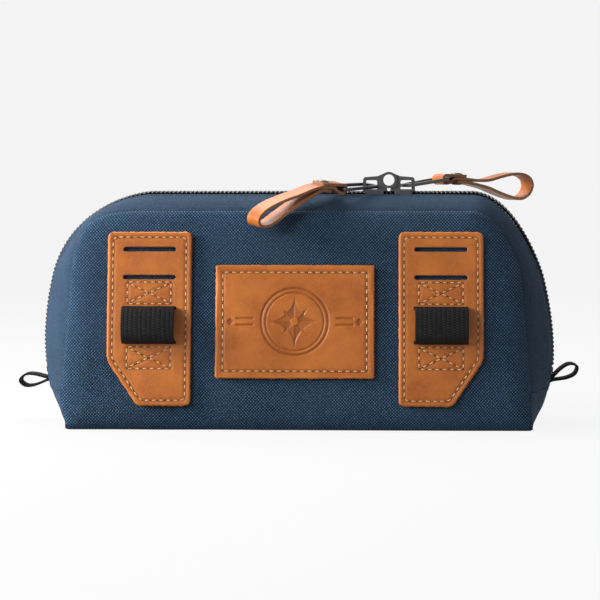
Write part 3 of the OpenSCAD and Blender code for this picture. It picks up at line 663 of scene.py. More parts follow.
class Workshop:
    """Makes meshes out of bmesh operators and puts them in the scene."""

    def __init__(self, finishes: Finishes) -> None:
        """Keeps the finishes at hand."""
        self.finishes = finishes

    def publish(self, bm: bmesh.types.BMesh, name: str, materials: Sequence[bpy.types.Material],
                smooth: bool = True) -> bpy.types.Object:
        """Turns a bmesh into an object in the scene.

        Args:
            bm: the shape, which is freed.
            name: the piece's name.
            materials: its material slots.
            smooth: whether its faces are shaded smooth.

        Returns:
            The new object.
        """
        mesh = bpy.data.meshes.new(name)
        for f in bm.faces:
            f.smooth = smooth
        bm.to_mesh(mesh)
        bm.free()
        for material in materials:
            mesh.materials.append(material)
        piece = bpy.data.objects.new(name, mesh)
        bpy.context.scene.collection.objects.link(piece)
        return piece

    def sheet(self, name: str, columns: int, rows: int, place: Place, chart: Place,
              outward: Callable[[Vector], Vector], weld: float = 0.0,
              marks: dict[str, Place] | None = None) -> bmesh.types.BMesh:
        """A grid whose points are moved onto a surface.

        Args:
            name: the piece's name, for messages.
            columns: segments along the first direction.
            rows: segments along the second.
            place: gives each point's place in millimetres from its two shares, from 0 to 1.
            chart: gives its place on the flat cloth, in millimetres.
            outward: gives the way out at a place, so that the faces point there.
            weld: points closer than this, in millimetres, are merged.
            marks: numbers to store at each point, by name.

        Returns:
            The grid as a bmesh.
        """
        bm = bmesh.new()
        uv = bm.loops.layers.uv.new("UVMap")
        layers = {key: bm.verts.layers.float.new(key) for key in marks or {}}
        bmesh.ops.create_grid(bm, x_segments=columns, y_segments=rows, size=0.5)
        verts = list(bm.verts)
        share = np.array([(v.co.x + 0.5, v.co.y + 0.5) for v in verts])
        spots = place(share[:, 0], share[:, 1]) * MM
        flat = chart(share[:, 0], share[:, 1])
        for key, rule in (marks or {}).items():
            for v, number in zip(verts, rule(share[:, 0], share[:, 1])):
                v[layers[key]] = float(number)
        for k, (v, spot) in enumerate(zip(verts, spots)):
            v.co = spot
            v.index = k
        for f in bm.faces:
            for loop in f.loops:
                loop[uv].uv = flat[loop.vert.index]
        if weld:
            bmesh.ops.remove_doubles(bm, verts=bm.verts, dist=weld * MM)
        bm.normal_update()
        facing = sum(f.normal.dot(outward(f.calc_center_median())) * f.calc_area() for f in bm.faces)
        if facing < 0:
            bmesh.ops.reverse_faces(bm, faces=bm.faces)
        LOG.debug("%s has %d points", name, len(bm.verts))
        return bm

    def thicken(self, piece: bpy.types.Object, wall: float, offset: float = -1.0,
                rim: int = 0) -> bpy.types.Object:
        """Gives cloth or leather its thickness.

        Args:
            piece: the sheet.
            wall: its thickness in millimetres.
            offset: -1 grows it inwards, 0 both ways and 1 outwards.
            rim: how many material slots further the cut edge's finish is.

        Returns:
            The same piece.
        """
        solid = piece.modifiers.new("thickness", "SOLIDIFY")
        solid.thickness = wall * MM
        solid.offset = offset
        solid.material_offset_rim = rim
        return piece

    def soften(self, piece: bpy.types.Object, width: float, segments: int = 2,
               angle: float = 35.0) -> bpy.types.Object:
        """Rounds a piece's sharp edges.

        Args:
            piece: the piece.
            width: the rounding's width in millimetres.
            segments: how many steps it has.
            angle: edges sharper than this many degrees are rounded.

        Returns:
            The same piece.
        """
        bevel = piece.modifiers.new("rounding", "BEVEL")
        bevel.width = width * MM
        bevel.segments = segments
        bevel.limit_method = "ANGLE"
        bevel.angle_limit = math.radians(angle)
        bevel.harden_normals = False
        return piece

    def stitches(self, name: str, rows: Sequence[tuple[Array, Array]], length: float, pitch: float,
                 radius: float, thread: bpy.types.Material, hole: bpy.types.Material | None = None,
                 sink: float = 0.0) -> bpy.types.Object:
        """Rows of separate stitches with a flat dark spot at each end, painted shade for the needle holes.

        Args:
            name: the piece's name.
            rows: for each row its line of points and the way out of the surface at each, in millimetres.
            length: the length of a stitch.
            pitch: the distance from one stitch to the next.
            radius: the thread's radius.
            thread: the thread's finish.
            hole: the holes' finish, or none.
            sink: how deep the thread lies in the surface.

        Returns:
            The stitching as one piece.
        """
        bm = bmesh.new()
        draw = random.Random(7)
        for line, normals in rows:
            total = line_length(line)
            count = max(1, round(total / pitch))
            run = run_along(line)
            for k in range(count):
                mid = (k + 0.5) * total / count
                ends = [Vector([np.interp(mid + h * length / 2, run, line[:, a]) for a in range(3)])
                        for h in (-1, 1)]
                out = Vector([np.interp(mid, run, normals[:, a]) for a in range(3)]).normalized()
                ahead = (ends[1] - ends[0]).normalized()
                across = out.cross(ahead).normalized()
                turn = Matrix((ahead, across, out)).transposed().to_4x4()
                tilt = Matrix.Rotation(draw.uniform(-0.06, 0.06), 4, "Z")
                centre = (ends[0] + ends[1]) / 2 - out * sink
                size = Matrix.Diagonal((length / 2, radius, radius * 0.8, 1))
                made = bmesh.ops.create_uvsphere(bm, u_segments=6, v_segments=5, radius=1,
                                                 matrix=Matrix.Rotation(math.pi / 2, 4, "Y"))
                place = Matrix.Translation(centre * MM) @ turn @ tilt @ Matrix.Scale(MM, 4) @ size
                bmesh.ops.transform(bm, matrix=place, verts=made["verts"])
                if hole is None:
                    continue
                # Each stitch end gets a flat dark spot, painted shade for the inside of the needle holes.
                for end in ends:
                    before = set(bm.faces)
                    spot = Matrix.Translation((end + out * 0.03 - out * sink * 0.4) * MM) @ turn
                    spot = spot @ Matrix.Diagonal((0.5 * MM, 0.36 * MM, 0.1 * MM, 1))
                    bmesh.ops.create_uvsphere(bm, u_segments=6, v_segments=4, radius=1, matrix=spot)
                    for f in set(bm.faces) - before:
                        f.material_index = 1
        return self.publish(bm, name, [thread] if hole is None else [thread, hole])

    def softened_node(self, frame: dict, node: str, material: bpy.types.Material, width: float,
                      name: str) -> bpy.types.Object:
        """A copy of one of the frame's nodes with rounded edges.

        Args:
            node: the node's name.
            material: the finish.
            width: the rounding in millimetres.
            name: the new piece's name.

        Returns:
            The rounded piece, which replaces the node.
        """
        bm = bmesh.new()
        bm.from_mesh(frame["nodes"][node].data)
        bmesh.ops.remove_doubles(bm, verts=bm.verts, dist=0.002 * MM)
        flat = [e for e in bm.edges if len(e.link_faces) == 2 and e.calc_face_angle(1.0) < math.radians(0.6)]
        bmesh.ops.dissolve_edges(bm, edges=flat, use_verts=False)
        bmesh.ops.dissolve_degenerate(bm, edges=bm.edges, dist=0.002 * MM)
        piece = self.publish(bm, name, [material])
        piece.data.materials.clear()
        piece.data.materials.append(material)
        for polygon in piece.data.polygons:
            polygon.material_index = 0
        self.soften(piece, width, 3)
        weighted = piece.modifiers.new("shading", "WEIGHTED_NORMAL")
        weighted.keep_sharp = False
        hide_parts(node)
        return piece


def away_from_middle(spot: Vector) -> Vector:
    """The way out of the pouch at a place."""
    return spot - Vector((0, 0, 0.05))


def fold_with_front(piece: bpy.types.Object) -> None:
    """Bakes a piece's placement into its mesh and leaves it on no body."""
    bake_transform(piece)


def hold_on_half(piece: bpy.types.Object, half: Half) -> None:
    """Bakes a front piece's placement into its mesh, and hangs a rear piece on the fixed half."""
    if half is Half.FRONT:
        fold_with_front(piece)
    else:
        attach(piece, "root")


def report(piece: bpy.types.Object) -> bpy.types.Object:
    """Logs a piece's name and its number of faces.

    Args:
        piece: the piece.

    Returns:
        The same piece.
    """
    LOG.info("%s: %d faces", piece.name, len(piece.data.polygons))
    return piece


@dataclass
class Shell:
    """The outer walls: two panels, two halves of the gusset, two lower sides and the base."""

    form: PouchForm
    shop: Workshop
    cloth: float = 0.85
    zip_gap: float = 5.5

    def panel(self, half: Half) -> bpy.types.Object:
        """One large panel, with a rolled edge that dips into its seam."""
        form = self.form
        loop = form.panel_loop()
        mid, half_h = (form.seam_h + form.foot_z) / 2, (form.seam_h - form.foot_z) / 2
        slack = Slack(11 + half.value, 62.0, 0.55)
        pucker = Slack(5 + half.value, 9.0, 0.22)
        edge_rows = 0.45

        def place(a: Array, b: Array) -> Array:
            """Rings that turn over the rolled edge and then shrink to the middle."""
            index = a * (len(loop) - 1)
            x = np.interp(index, np.arange(len(loop)), loop[:, 0])
            z = np.interp(index, np.arange(len(loop)), loop[:, 1])
            turn = np.pi / 2 * np.clip(b / edge_rows, 0, 1)
            e = form.roll * (1 - np.cos(turn))
            inner = 1 - np.clip((b - edge_rows) / (1 - edge_rows), 0, 1)
            px = x * (1 - e / form.panel_half_w) * inner
            pz = mid + (z - mid) * (1 - e / half_h) * inner
            rise = form.crown * np.sin(turn) ** 1.35 - 1.2 * np.exp(-((turn / 0.22) ** 2)) * (pz > 14)
            near = np.exp(-(e / 5.0)) * (b > 0)
            rise = rise + slack(px, pz) * smoothstep(e / 14.0) * 0.6 + pucker(px, pz) * near
            foot = smoothstep((12 - pz) / 12)
            rise = rise + 0.5 * foot * np.sin(turn) * (z < 40)
            return np.stack([px, half.value * (form.seam_y(pz) + rise), pz], 1)

        def chart(a: Array, b: Array) -> Array:
            """The panel's own flat cloth."""
            p = place(a, b)
            return np.stack([p[:, 0], p[:, 2] / math.cos(form.lean)], 1)

        bm = self.shop.sheet("panel", 300, 40, place, chart, away_from_middle, weld=0.02)
        name = f"{half.wall_word}_panel_cloth"
        piece = self.shop.publish(bm, name, [self.shop.finishes.canvas])
        self.shop.thicken(piece, self.cloth)
        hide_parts(f"{half.wall_word}_panel")
        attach(piece, "front" if half is Half.FRONT else "root")
        return report(piece)

    def gusset(self, half: Half) -> bpy.types.Object:
        """The strip between a panel and the zip, over the whole arch."""
        form = self.form
        ends = [form.run_at(side, form.zip_end_z - 0.6) for side in Side]
        slack = Slack(21 + half.value, 38.0, 0.5)
        pucker = Slack(31 + half.value, 8.0, 0.2)

        def lay(a: Array, b: Array) -> tuple[Array, Array, Array]:
            """Distance along, distance across and the width there."""
            s = ends[0] + (ends[1] - ends[0]) * a
            width = form.seam_y(form.along("seam", s)[:, 1]) - 0.12
            return s, width + (self.zip_gap - width) * b, width

        def place(a: Array, b: Array) -> Array:
            """The strip's outer face."""
            s, y, width = lay(a, b)
            off = width - y
            fold = np.clip(1 - (y - self.zip_gap) / 0.9, 0, 1) ** 2 * 0.55
            ridge = -0.35 * np.exp(-((y - self.zip_gap - 1.7) / 1.1) ** 2)
            line = 0.3 * np.exp(-((y - self.zip_gap - 3.1) / 0.5) ** 2)
            loose = smoothstep(off / 7) * smoothstep((y - self.zip_gap - 1) / 6)
            pinch = 1.5 * np.exp(-((off / 1.9) ** 2)) - 0.5 * np.exp(-(((off - 7) / 4.0) ** 2))
            turned = 0.9 * np.exp(-(((s - 112) / 26) ** 2)) * np.clip(1 - (y - self.zip_gap) / 5, 0, 1)
            depth = fold + ridge + line + pinch + turned * (half is Half.FRONT) - slack(s, y) * loose
            depth = depth - pucker(s, y * 0.4) * np.exp(-off / 3.0) * (b > 0)
            p = form.wall(s, y, depth)
            return np.stack([p[:, 0], half.value * p[:, 1], p[:, 2]], 1)

        def chart(a: Array, b: Array) -> Array:
            """The strip's own flat cloth."""
            s, y, _ = lay(a, b)
            return np.stack([s, y * 1.15], 1)

        bm = self.shop.sheet("gusset", 420, 34, place, chart, away_from_middle)
        piece = self.shop.publish(bm, f"{half.word}_gusset_cloth", [self.shop.finishes.twill])
        self.shop.thicken(piece, self.cloth)
        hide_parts(f"{half.word}_gusset")
        hold_on_half(piece, half)
        return report(piece)

    def lower_side(self, side: Side) -> bpy.types.Object:
        """The end panel under the zip, from the base up to the zip's end."""
        form = self.form
        slack = Slack(41 + side.value, 24.0, 0.6)

        def lay(a: Array, b: Array) -> tuple[Array, Array, Array]:
            """Distance along, share across and height."""
            z = 0.9 + (form.zip_end_z - 0.2 - 0.9) * b
            s = np.array([form.run_at(side, float(h)) for h in np.unique(z)])
            s = np.interp(z, np.unique(z), s)
            return s, a * 2 - 1, z

        def place(a: Array, b: Array) -> Array:
            """The side's outer face, with a folded upper hem."""
            s, across, z = lay(a, b)
            width = form.seam_y(form.along("seam", s)[:, 1]) - 0.12
            y = across * width
            hem = -0.3 * np.exp(-((z - form.zip_end_z + 1.2) / 0.9) ** 2)
            loose = smoothstep((1 - np.abs(across)) * 6) * smoothstep((z - 1) / 6)
            return form.wall(s, y, hem - slack(y, z) * loose)

        def chart(a: Array, b: Array) -> Array:
            """The side's own flat cloth."""
            _, across, z = lay(a, b)
            return np.stack([across * 42, z * 1.1], 1)

        bm = self.shop.sheet("side", 120, 28, place, chart, away_from_middle)
        piece = self.shop.publish(bm, f"{side.word}_side_cloth", [self.shop.finishes.twill])
        self.shop.thicken(piece, self.cloth)
        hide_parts(f"side_panel_{side.word}")
        fold_with_front(piece)
        return report(piece)

    def base(self) -> bpy.types.Object:
        """The base, which rolls up a little at its edges."""
        form = self.form
        slack = Slack(51, 70.0, 0.12)

        def place(a: Array, b: Array) -> Array:
            """The base's lower face."""
            y = (2 * b - 1) * (form.half_d - 0.1)
            reach = form.panel_half_w + form.tuck * np.sin(np.pi / 2 * (1 - np.abs(y) / form.half_d))
            x = (2 * a - 1) * reach
            off = np.minimum(reach - np.abs(x), form.half_d - 0.1 - np.abs(y))
            x = x + form.left_tuck * (1 - a)
            curl = np.clip(1 - off / 2.2, 0, 1)
            z = 0.1 + 0.8 * curl ** 2 + np.abs(slack(x, y)) * (1 - curl)
            return np.stack([x, y, z], 1)

        def chart(a: Array, b: Array) -> Array:
            """The base's own flat cloth."""
            return place(a, b)[:, :2]

        bm = self.shop.sheet("base", 190, 84, place, chart, lambda spot: Vector((0, 0, -1)))
        piece = self.shop.publish(bm, "base_cloth", [self.shop.finishes.canvas])
        self.shop.thicken(piece, 0.8)
        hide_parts("base_panel")
        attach(piece, "root")
        return report(piece)

    def topstitch(self, half: Half) -> bpy.types.Object:
        """The fine row of stitches beside the zip."""
        form = self.form
        ends = [form.run_at(side, form.zip_end_z + 1) for side in Side]
        s = np.linspace(ends[0], ends[1], 500)
        y = np.full(500, self.zip_gap + 3.1)
        line = form.wall(s, y, np.full(500, 0.22)) * [1, half.value, 1]
        out = (form.wall(s, y, np.full(500, -0.8)) * [1, half.value, 1]) - line
        piece = self.shop.stitches(f"{half.word}_topstitch", [(line, out)], 2.3, 3.1, 0.24,
                                   self.shop.finishes.navy_thread)
        hold_on_half(piece, half)
        return report(piece)

    def build(self) -> None:
        """Builds every outer wall."""
        for half in Half:
            self.panel(half)
            self.gusset(half)
            self.topstitch(half)
        for side in Side:
            self.lower_side(side)
        self.base()


@dataclass
class Inside:
    """The linings, the seam bindings, the padding and the inside pocket."""

    form: PouchForm
    shop: Workshop
    frame: dict
    lining_face: float = 5.2
    pocket_half_w: float = 90.0
    pocket_foot: float = 14.0
    pocket_h: float = 60.0
    pocket_d: float = 6.5

    def panel_lining(self, half: Half) -> bpy.types.Object:
        """The lining behind a panel."""
        form = self.form
        loop = form.panel_loop()
        mid, half_h = (form.seam_h + form.foot_z) / 2, (form.seam_h - form.foot_z) / 2
        slack = Slack(61 + half.value, 45.0, 0.35)

        def place(a: Array, b: Array) -> Array:
            """Rings that shrink to the middle."""
            index = a * (len(loop) - 1)
            keep = 1 - b
            x = np.interp(index, np.arange(len(loop)), loop[:, 0]) * (1 - 4 / form.panel_half_w) * keep
            z = np.interp(index, np.arange(len(loop)), loop[:, 1])
            z = mid + (z - mid) * (1 - 4 / half_h) * keep
            n = -self.lining_face - 0.1 - np.abs(slack(x, z)) * smoothstep(b * 6)
            return form.face(x, z / math.cos(form.lean), n, half)

        def chart(a: Array, b: Array) -> Array:
            """The lining's own flat cloth."""
            p = place(a, b)
            return p[:, [0, 2]]

        toward = -half.value
        bm = self.shop.sheet("lining", 220, 40, place, chart, lambda spot: Vector((0, toward, 0)), weld=0.02)
        piece = self.shop.publish(bm, f"{half.wall_word}_lining_cloth", [self.shop.finishes.lining])
        self.shop.thicken(piece, 0.4, 1.0)
        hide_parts(f"{half.wall_word}_lining")
        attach(piece, "front" if half is Half.FRONT else "root")
        return report(piece)

    def band(self, name: str, half: Half, node: str, depth: float, from_seam: float, to: float,
             material: bpy.types.Material, slot: str, wall: float, waves: float,
             rows: int) -> bpy.types.Object:
        """A strip on the inside of the gusset.

        Args:
            name: the piece's name.
            half: which half of the pouch.
            node: the frame's node that it stands for.
            depth: how deep its outer face lies.
            from_seam: how far its first edge is from the panel seam.
            to: its other edge's distance from the zip's middle, or, below 0, from the panel seam.
            material: its finish.
            slot: not used.
            wall: its thickness.
            waves: how much it ripples.
            rows: segments across.

        Returns:
            The strip.
        """
        form = self.form
        ends = [form.run_at(side, form.zip_end_z) for side in Side]
        slack = Slack(71 + half.value, 26.0, waves)

        def place(a: Array, b: Array) -> Array:
            """The strip's face that the inside of the pouch shows."""
            s = ends[0] + (ends[1] - ends[0]) * a
            width = form.seam_y(form.along("seam", s)[:, 1])
            start = width - from_seam
            stop = to if to > 0 else width + to
            y = start + (stop - start) * b
            ease = smoothstep(b * 4) * smoothstep((1 - b) * 4)
            return form.wall(s, y, depth + wall + np.abs(slack(s, y)) * ease) * [1, half.value, 1]

        def chart(a: Array, b: Array) -> Array:
            """The strip's own flat cloth."""
            return np.stack([ends[0] + (ends[1] - ends[0]) * a, b * 20], 1)

        bm = self.shop.sheet(name, 320, rows, place, chart, lambda spot: -away_from_middle(spot))
        piece = self.shop.publish(bm, name, [material])
        self.shop.thicken(piece, wall)
        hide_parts(node)
        hold_on_half(piece, half)
        return report(piece)

    def side_lining(self, side: Side) -> bpy.types.Object:
        """The lining of a lower side."""
        form = self.form
        slack = Slack(81 + side.value, 20.0, 0.3)
        heights = np.linspace(4.4, form.zip_end_z - 1, 24)
        runs = np.array([form.run_at(side, float(h)) for h in heights])

        def place(a: Array, b: Array) -> Array:
            """The lining's face that the inside of the pouch shows."""
            z = heights[0] + (heights[-1] - heights[0]) * b
            s = np.interp(z, heights, runs)
            y = (2 * a - 1) * (form.seam_y(z) - 1.7)
            return form.wall(s, y, 1.65 + np.abs(slack(y, z)) * smoothstep((1 - np.abs(2 * a - 1)) * 5))

        def chart(a: Array, b: Array) -> Array:
            """The lining's own flat cloth."""
            return np.stack([a * 84, b * 16], 1)

        bm = self.shop.sheet("side lining", 90, 20, place, chart, lambda spot: -away_from_middle(spot))
        piece = self.shop.publish(bm, f"{side.word}_side_lining_cloth", [self.shop.finishes.lining])
        self.shop.thicken(piece, 0.4)
        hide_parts(f"side_lining_{side.word}")
        fold_with_front(piece)
        return report(piece)

    def base_lining(self) -> bpy.types.Object:
        """The lining over the board in the base."""
        low, high = (Vector(c) * 1000 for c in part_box("base_lining"))
        slack = Slack(91, 50.0, 0.3)

        def place(a: Array, b: Array) -> Array:
            """The lining's upper face."""
            x, y = low.x + (high.x - low.x) * a, low.y + (high.y - low.y) * b
            free = smoothstep(np.minimum(np.minimum(a, 1 - a) * 9, np.minimum(b, 1 - b) * 5))
            return np.stack([x, y, high.z + np.abs(slack(x, y)) * free], 1)

        def chart(a: Array, b: Array) -> Array:
            """The lining's own flat cloth."""
            return place(a, b)[:, :2]

        bm = self.shop.sheet("base lining", 110, 50, place, chart, lambda spot: Vector((0, 0, 1)))
        piece = self.shop.publish(bm, "base_lining_cloth", [self.shop.finishes.lining])
        self.shop.thicken(piece, 0.45)
        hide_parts("base_lining")
        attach(piece, "root")
        return report(piece)

    def pocket(self) -> bpy.types.Object:
        """The slip pocket on the back lining, which gapes a little."""
        form = self.form
        face = self.lining_face + 0.6
        slack = Slack(101, 30.0, 0.5)

        def place(a: Array, b: Array) -> Array:
            """The pocket's face that the inside of the pouch shows."""
            x = (2 * a - 1) * self.pocket_half_w
            t = (self.pocket_foot / math.cos(form.lean)) + self.pocket_h * b
            side = smoothstep((self.pocket_half_w - np.abs(x)) / 6.0)
            foot = smoothstep(b * self.pocket_h / 7.0)
            gather = 0.35 * np.sin(x * 0.9) * smoothstep((b - 0.6) / 0.4)
            n = -face - (self.pocket_d + slack(x, t) + gather - 0.3) * side * foot - 0.5
            return form.face(x, t, n, Half.REAR)

        def chart(a: Array, b: Array) -> Array:
            """The pocket's own flat cloth."""
            return np.stack([a * 190, b * 62], 1)

        bm = self.shop.sheet("pocket", 220, 60, place, chart, lambda spot: Vector((0, -1, 0)))
        piece = self.shop.publish(bm, "pocket_cloth", [self.shop.finishes.lining])
        self.shop.thicken(piece, 0.55)
        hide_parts("inner_pocket")
        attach(piece, "root")
        report(piece)

        def hem(a: Array, b: Array) -> Array:
            """The elastic folded over the pocket's mouth."""
            top = place(a, np.full(len(a), 1.0))
            under = place(a, np.full(len(a), 1 - 7 / self.pocket_h))
            wrap = smoothstep((b - 0.5) / 0.12)[:, None]
            run = np.where(b < 0.5, b / 0.5, (1 - b) / 0.5)[:, None]
            spot = under + (top - under) * run
            out = np.array([0, -1, 0]) * (0.35 - 1.15 * wrap)
            lift = np.array([0, 0, 0.35]) * np.exp(-((b - 0.5) / 0.08) ** 2)[:, None]
            return spot + out + lift

        bm = self.shop.sheet("elastic", 220, 24, hem, lambda a, b: np.stack([a * 190, b * 14], 1),
                             lambda spot: Vector((0, -1, 0)))
        edge = self.shop.publish(bm, "pocket_elastic_band", [self.shop.finishes.grosgrain])
        self.shop.thicken(edge, 0.4, 1.0)
        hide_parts("pocket_elastic")
        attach(edge, "root")
        return report(edge)

    def padding(self) -> None:
        """Dresses the foam and the base board, which keep the frame's own shapes."""
        finishes = self.shop.finishes
        for node, material in (("front_foam", finishes.foam), ("back_foam", finishes.foam),
                               ("base_board", finishes.board)):
            for slot in self.frame["nodes"][node].material_slots:
                slot.material = material

    def build(self) -> None:
        """Builds everything inside."""
        f = self.shop.finishes
        for half in Half:
            self.panel_lining(half)
            self.band(f"{half.word}_gusset_lining_cloth", half, f"{half.word}_gusset_lining", 1.8, 1.6, 8.0,
                      f.lining, "lining_fabric", 0.4, 0.25, 14)
            self.band(f"{half.word}_seam_binding_tape", half, f"{half.word}_seam_binding", 2.85, 6.5, -14.5,
                      f.grosgrain, "webbing", 0.9, 0.05, 8)
        for side in Side:
            self.side_lining(side)
        self.base_lining()
        self.pocket()
        self.padding()


@dataclass
class Zip:
    """The zip: two tapes, two rows of teeth and the stops at its ends."""

    form: PouchForm
    shop: Workshop
    frame: dict
    tape_depth: float = 1.05
    pitch: float = 2.1
    tape_end_z: float = 24.0
    teeth_end_z: float = 27.4

    def tape(self, half: Half) -> bpy.types.Object:
        """One woven tape, under the gusset's fold."""
        form = self.form
        ends = [form.run_at(side, self.tape_end_z) for side in Side]

        def place(a: Array, b: Array) -> Array:
            """The tape's outer face."""
            s = ends[0] + (ends[1] - ends[0]) * a
            y = 14.0 + (0.9 - 14.0) * b
            return form.wall(s, y, np.full(len(s), self.tape_depth)) * [1, half.value, 1]

        def chart(a: Array, b: Array) -> Array:
            """The tape's own flat cloth."""
            return np.stack([ends[0] + (ends[1] - ends[0]) * a, b * 13], 1)

        bm = self.shop.sheet("tape", 340, 10, place, chart, away_from_middle)
        piece = self.shop.publish(bm, f"{half.word}_zip_tape_cloth", [self.shop.finishes.tape])
        self.shop.thicken(piece, 0.55)
        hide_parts(f"zip_tape_{half.word}")
        return self.hang(piece, half)

    def hang(self, piece: bpy.types.Object, half: Half) -> bpy.types.Object:
        """Hangs a rear piece of the zip on the fixed half, bakes a front piece in place, and logs it."""
        hold_on_half(piece, half)
        return report(piece)

    def teeth(self, half: Half) -> bpy.types.Object:
        """One row of coil teeth, slanted, that mesh with the other row."""
        form = self.form
        left, right = (form.run_at(side, self.teeth_end_z) for side in Side)
        bm = bmesh.new()
        count = int((right - left) / self.pitch)
        shift = 0.5 * self.pitch if half is Half.FRONT else 0.0
        slant = Matrix.Identity(4)
        slant[0][1] = 0.32 * half.value
        for k in range(count):
            s = np.array([left + shift + (k + 0.25) * self.pitch])
            centre, above = (form.wall(s, np.zeros(1), np.array([d]))[0] for d in (-0.12, -1.12))
            out = Vector(above - centre).normalized()
            across = Vector((0, 1, 0))
            ahead = across.cross(out).normalized()
            turn = Matrix((ahead, across, out)).transposed().to_4x4()
            reach = Matrix.Translation((0, half.value * 1.62, 0))
            size = Matrix.Diagonal((0.84, 1.85, 1.02, 1))
            made = bmesh.ops.create_uvsphere(bm, u_segments=8, v_segments=6, radius=1,
                                             matrix=Matrix.Rotation(math.pi / 2, 4, "X"))
            spot = Matrix.Translation(Vector(centre) * MM)
            place = spot @ turn @ Matrix.Scale(MM, 4) @ slant @ reach @ size
            bmesh.ops.transform(bm, matrix=place, verts=made["verts"])
        bmesh.ops.recalc_face_normals(bm, faces=bm.faces)
        piece = self.shop.publish(bm, f"{half.word}_zip_teeth", [self.shop.finishes.teeth])
        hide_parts(f"zip_coil_{half.word}")
        return self.hang(piece, half)

    def build(self) -> None:
        """Builds both halves of the zip."""
        for half in Half:
            self.tape(half)
            self.teeth(half)
        stops = self.shop.softened_node(self.frame, "zip_end_stops", self.shop.finishes.metal, 0.3,
                                        "zip_stops")
        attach(stops, "root")
        report(stops)


@dataclass
class Patches:
    """The leather on the front panel, its stitching and the webbing loops."""

    form: PouchForm
    shop: Workshop
    patch_w: float = 40.5
    patch_in: float = 49.5
    foot: float = 12.0
    head: float = 10.0
    thick: float = 2.2
    cut_w: float = 15.0
    cut_h: float = 22.0
    web_w: float = 25.4
    box_w: float = 21.0
    box_h: float = 10.4

    def __post_init__(self) -> None:
        """Works out the patch's height on the panel's face."""
        self.low = self.foot / math.cos(self.form.lean)
        self.top = (self.form.seam_h - self.head) / math.cos(self.form.lean)

    def bounds_at(self, t: Array) -> tuple[Array, Array]:
        """The patch's inner and outer edge at heights t, for the right-hand patch."""
        r = 3.0
        inner = np.full(len(t), self.patch_in)
        outer = np.full(len(t), self.patch_in + self.patch_w)
        for end, sign in ((self.low, 1), (self.top, -1)):
            d = np.clip(1 - sign * (t - end) / r, 0, 1)
            inner = inner + r * (1 - np.sqrt(1 - d ** 2))
            if sign < 0:
                outer = outer - r * (1 - np.sqrt(1 - d ** 2))
        slope = np.clip((self.low + self.cut_h - t) / self.cut_h, 0, 1)
        soft = 1.2 * np.exp(-((t - self.low - self.cut_h) / 2.2) ** 2)
        outer = outer - self.cut_w * slope - 0.35 * soft
        d = np.clip(1 - (t - self.low) / 1.6, 0, 1)
        outer = outer - 1.6 * (1 - np.sqrt(1 - d ** 2))
        return inner, outer

    def outline(self, inset: float) -> Array:
        """The right-hand patch's outline, moved inwards, as [x, t] rows."""
        a, b = self.patch_in + inset, self.patch_in + self.patch_w - inset
        k = inset * math.tan(math.pi / 4 - math.atan(self.cut_w / self.cut_h) / 2)
        m = inset * math.tan(math.atan(self.cut_w / self.cut_h) / 2)
        corners = [(a, self.low + inset), (self.patch_in + self.patch_w - self.cut_w - k, self.low + inset),
                   (b, self.low + self.cut_h + m), (b, self.top - inset), (a, self.top - inset)]
        rows = []
        for i, p in enumerate(corners):
            p = np.array(p)
            before, after = (np.array(corners[(i + d) % 5]) for d in (-1, 1))
            u, v = ((q - p) / np.linalg.norm(q - p) * 1.4 for q in (before, after))
            rows += [bezier([p + u, p + u * 0.4, p + v * 0.4, p + v], np.linspace(0, 1, 6))]
        line = np.vstack(rows)
        return np.vstack([line, line[:1]])

    def lift(self, line: Array, side: Side, n: float) -> tuple[Array, Array]:
        """Puts an [x, t] line on the panel's face, with the way out at each point.

        Args:
            line: the line, for the right-hand side.
            side: which side of the pouch it goes on.
            n: how far out of the face it lies.

        Returns:
            The line in space and the outward directions.
        """
        x, t = side.value * line[:, 0], line[:, 1]
        here = self.form.face(x, t, np.full(len(x), n))
        return here, self.form.face(x, t, np.full(len(x), n + 1.0)) - here

    def distance(self, x: Array, t: Array, line: Array) -> Array:
        """How far points are from a line, all in the panel's face."""
        best = np.full(len(x), 1e9)
        for a, b in zip(line[:-1], line[1:]):
            step = b - a
            share = np.clip(((x - a[0]) * step[0] + (t - a[1]) * step[1]) / max(step @ step, 1e-9), 0, 1)
            best = np.minimum(best, np.hypot(x - a[0] - share * step[0], t - a[1] - share * step[1]))
        return best

    def plate(self, name: str, columns: int, rows: int, spots: Place, press: Callable[[Array, Array], Array],
              edge: Callable[[Array, Array], Array], side: Side) -> bpy.types.Object:
        """A piece of leather on the panel's face.

        Args:
            name: the piece's name.
            columns: segments across.
            rows: segments up.
            spots: gives [x, t] from the two shares, for the right-hand side.
            press: how far the surface is pressed in at [x, t], in millimetres.
            edge: how far a point is from the leather's edge.
            side: which side of the pouch it goes on.

        Returns:
            The leather as a closed plate with a raw edge.
        """
        form = self.form
        grain = Slack(len(name), 21.0, 0.18)
        fray = Slack(3 + len(name), 2.6, 0.28, 14)

        def place(a: Array, b: Array) -> Array:
            """The leather's outer face."""
            p = spots(a, b)
            off = edge(p[:, 0], p[:, 1])
            rim = (a < 1e-6) | (a > 1 - 1e-6) | (b < 1e-6) | (b > 1 - 1e-6)
            middle = p.mean(0)
            away = p - middle
            away /= np.linalg.norm(away, axis=1)[:, None] + 1e-9
            p = p + away * (fray(p[:, 0] * 1.0, p[:, 1]) * rim)[:, None]
            round_over = 0.55 * np.clip(1 - off / 0.9, 0, 1) ** 2
            n = 0.05 + self.thick - press(p[:, 0], p[:, 1]) - round_over + grain(p[:, 0], p[:, 1]) * (off > 1)
            return form.face(side.value * p[:, 0], p[:, 1], n)

        def worn(a: Array, b: Array) -> Array:
            """How worn the leather is, which is most at its edges."""
            p = spots(a, b)
            return np.clip(1 - edge(p[:, 0], p[:, 1]) / 1.6, 0, 1)

        def pressed(a: Array, b: Array) -> Array:
            """How strongly the leather is pressed."""
            p = spots(a, b)
            return np.clip(press(p[:, 0], p[:, 1]) / 0.45, 0, 1)

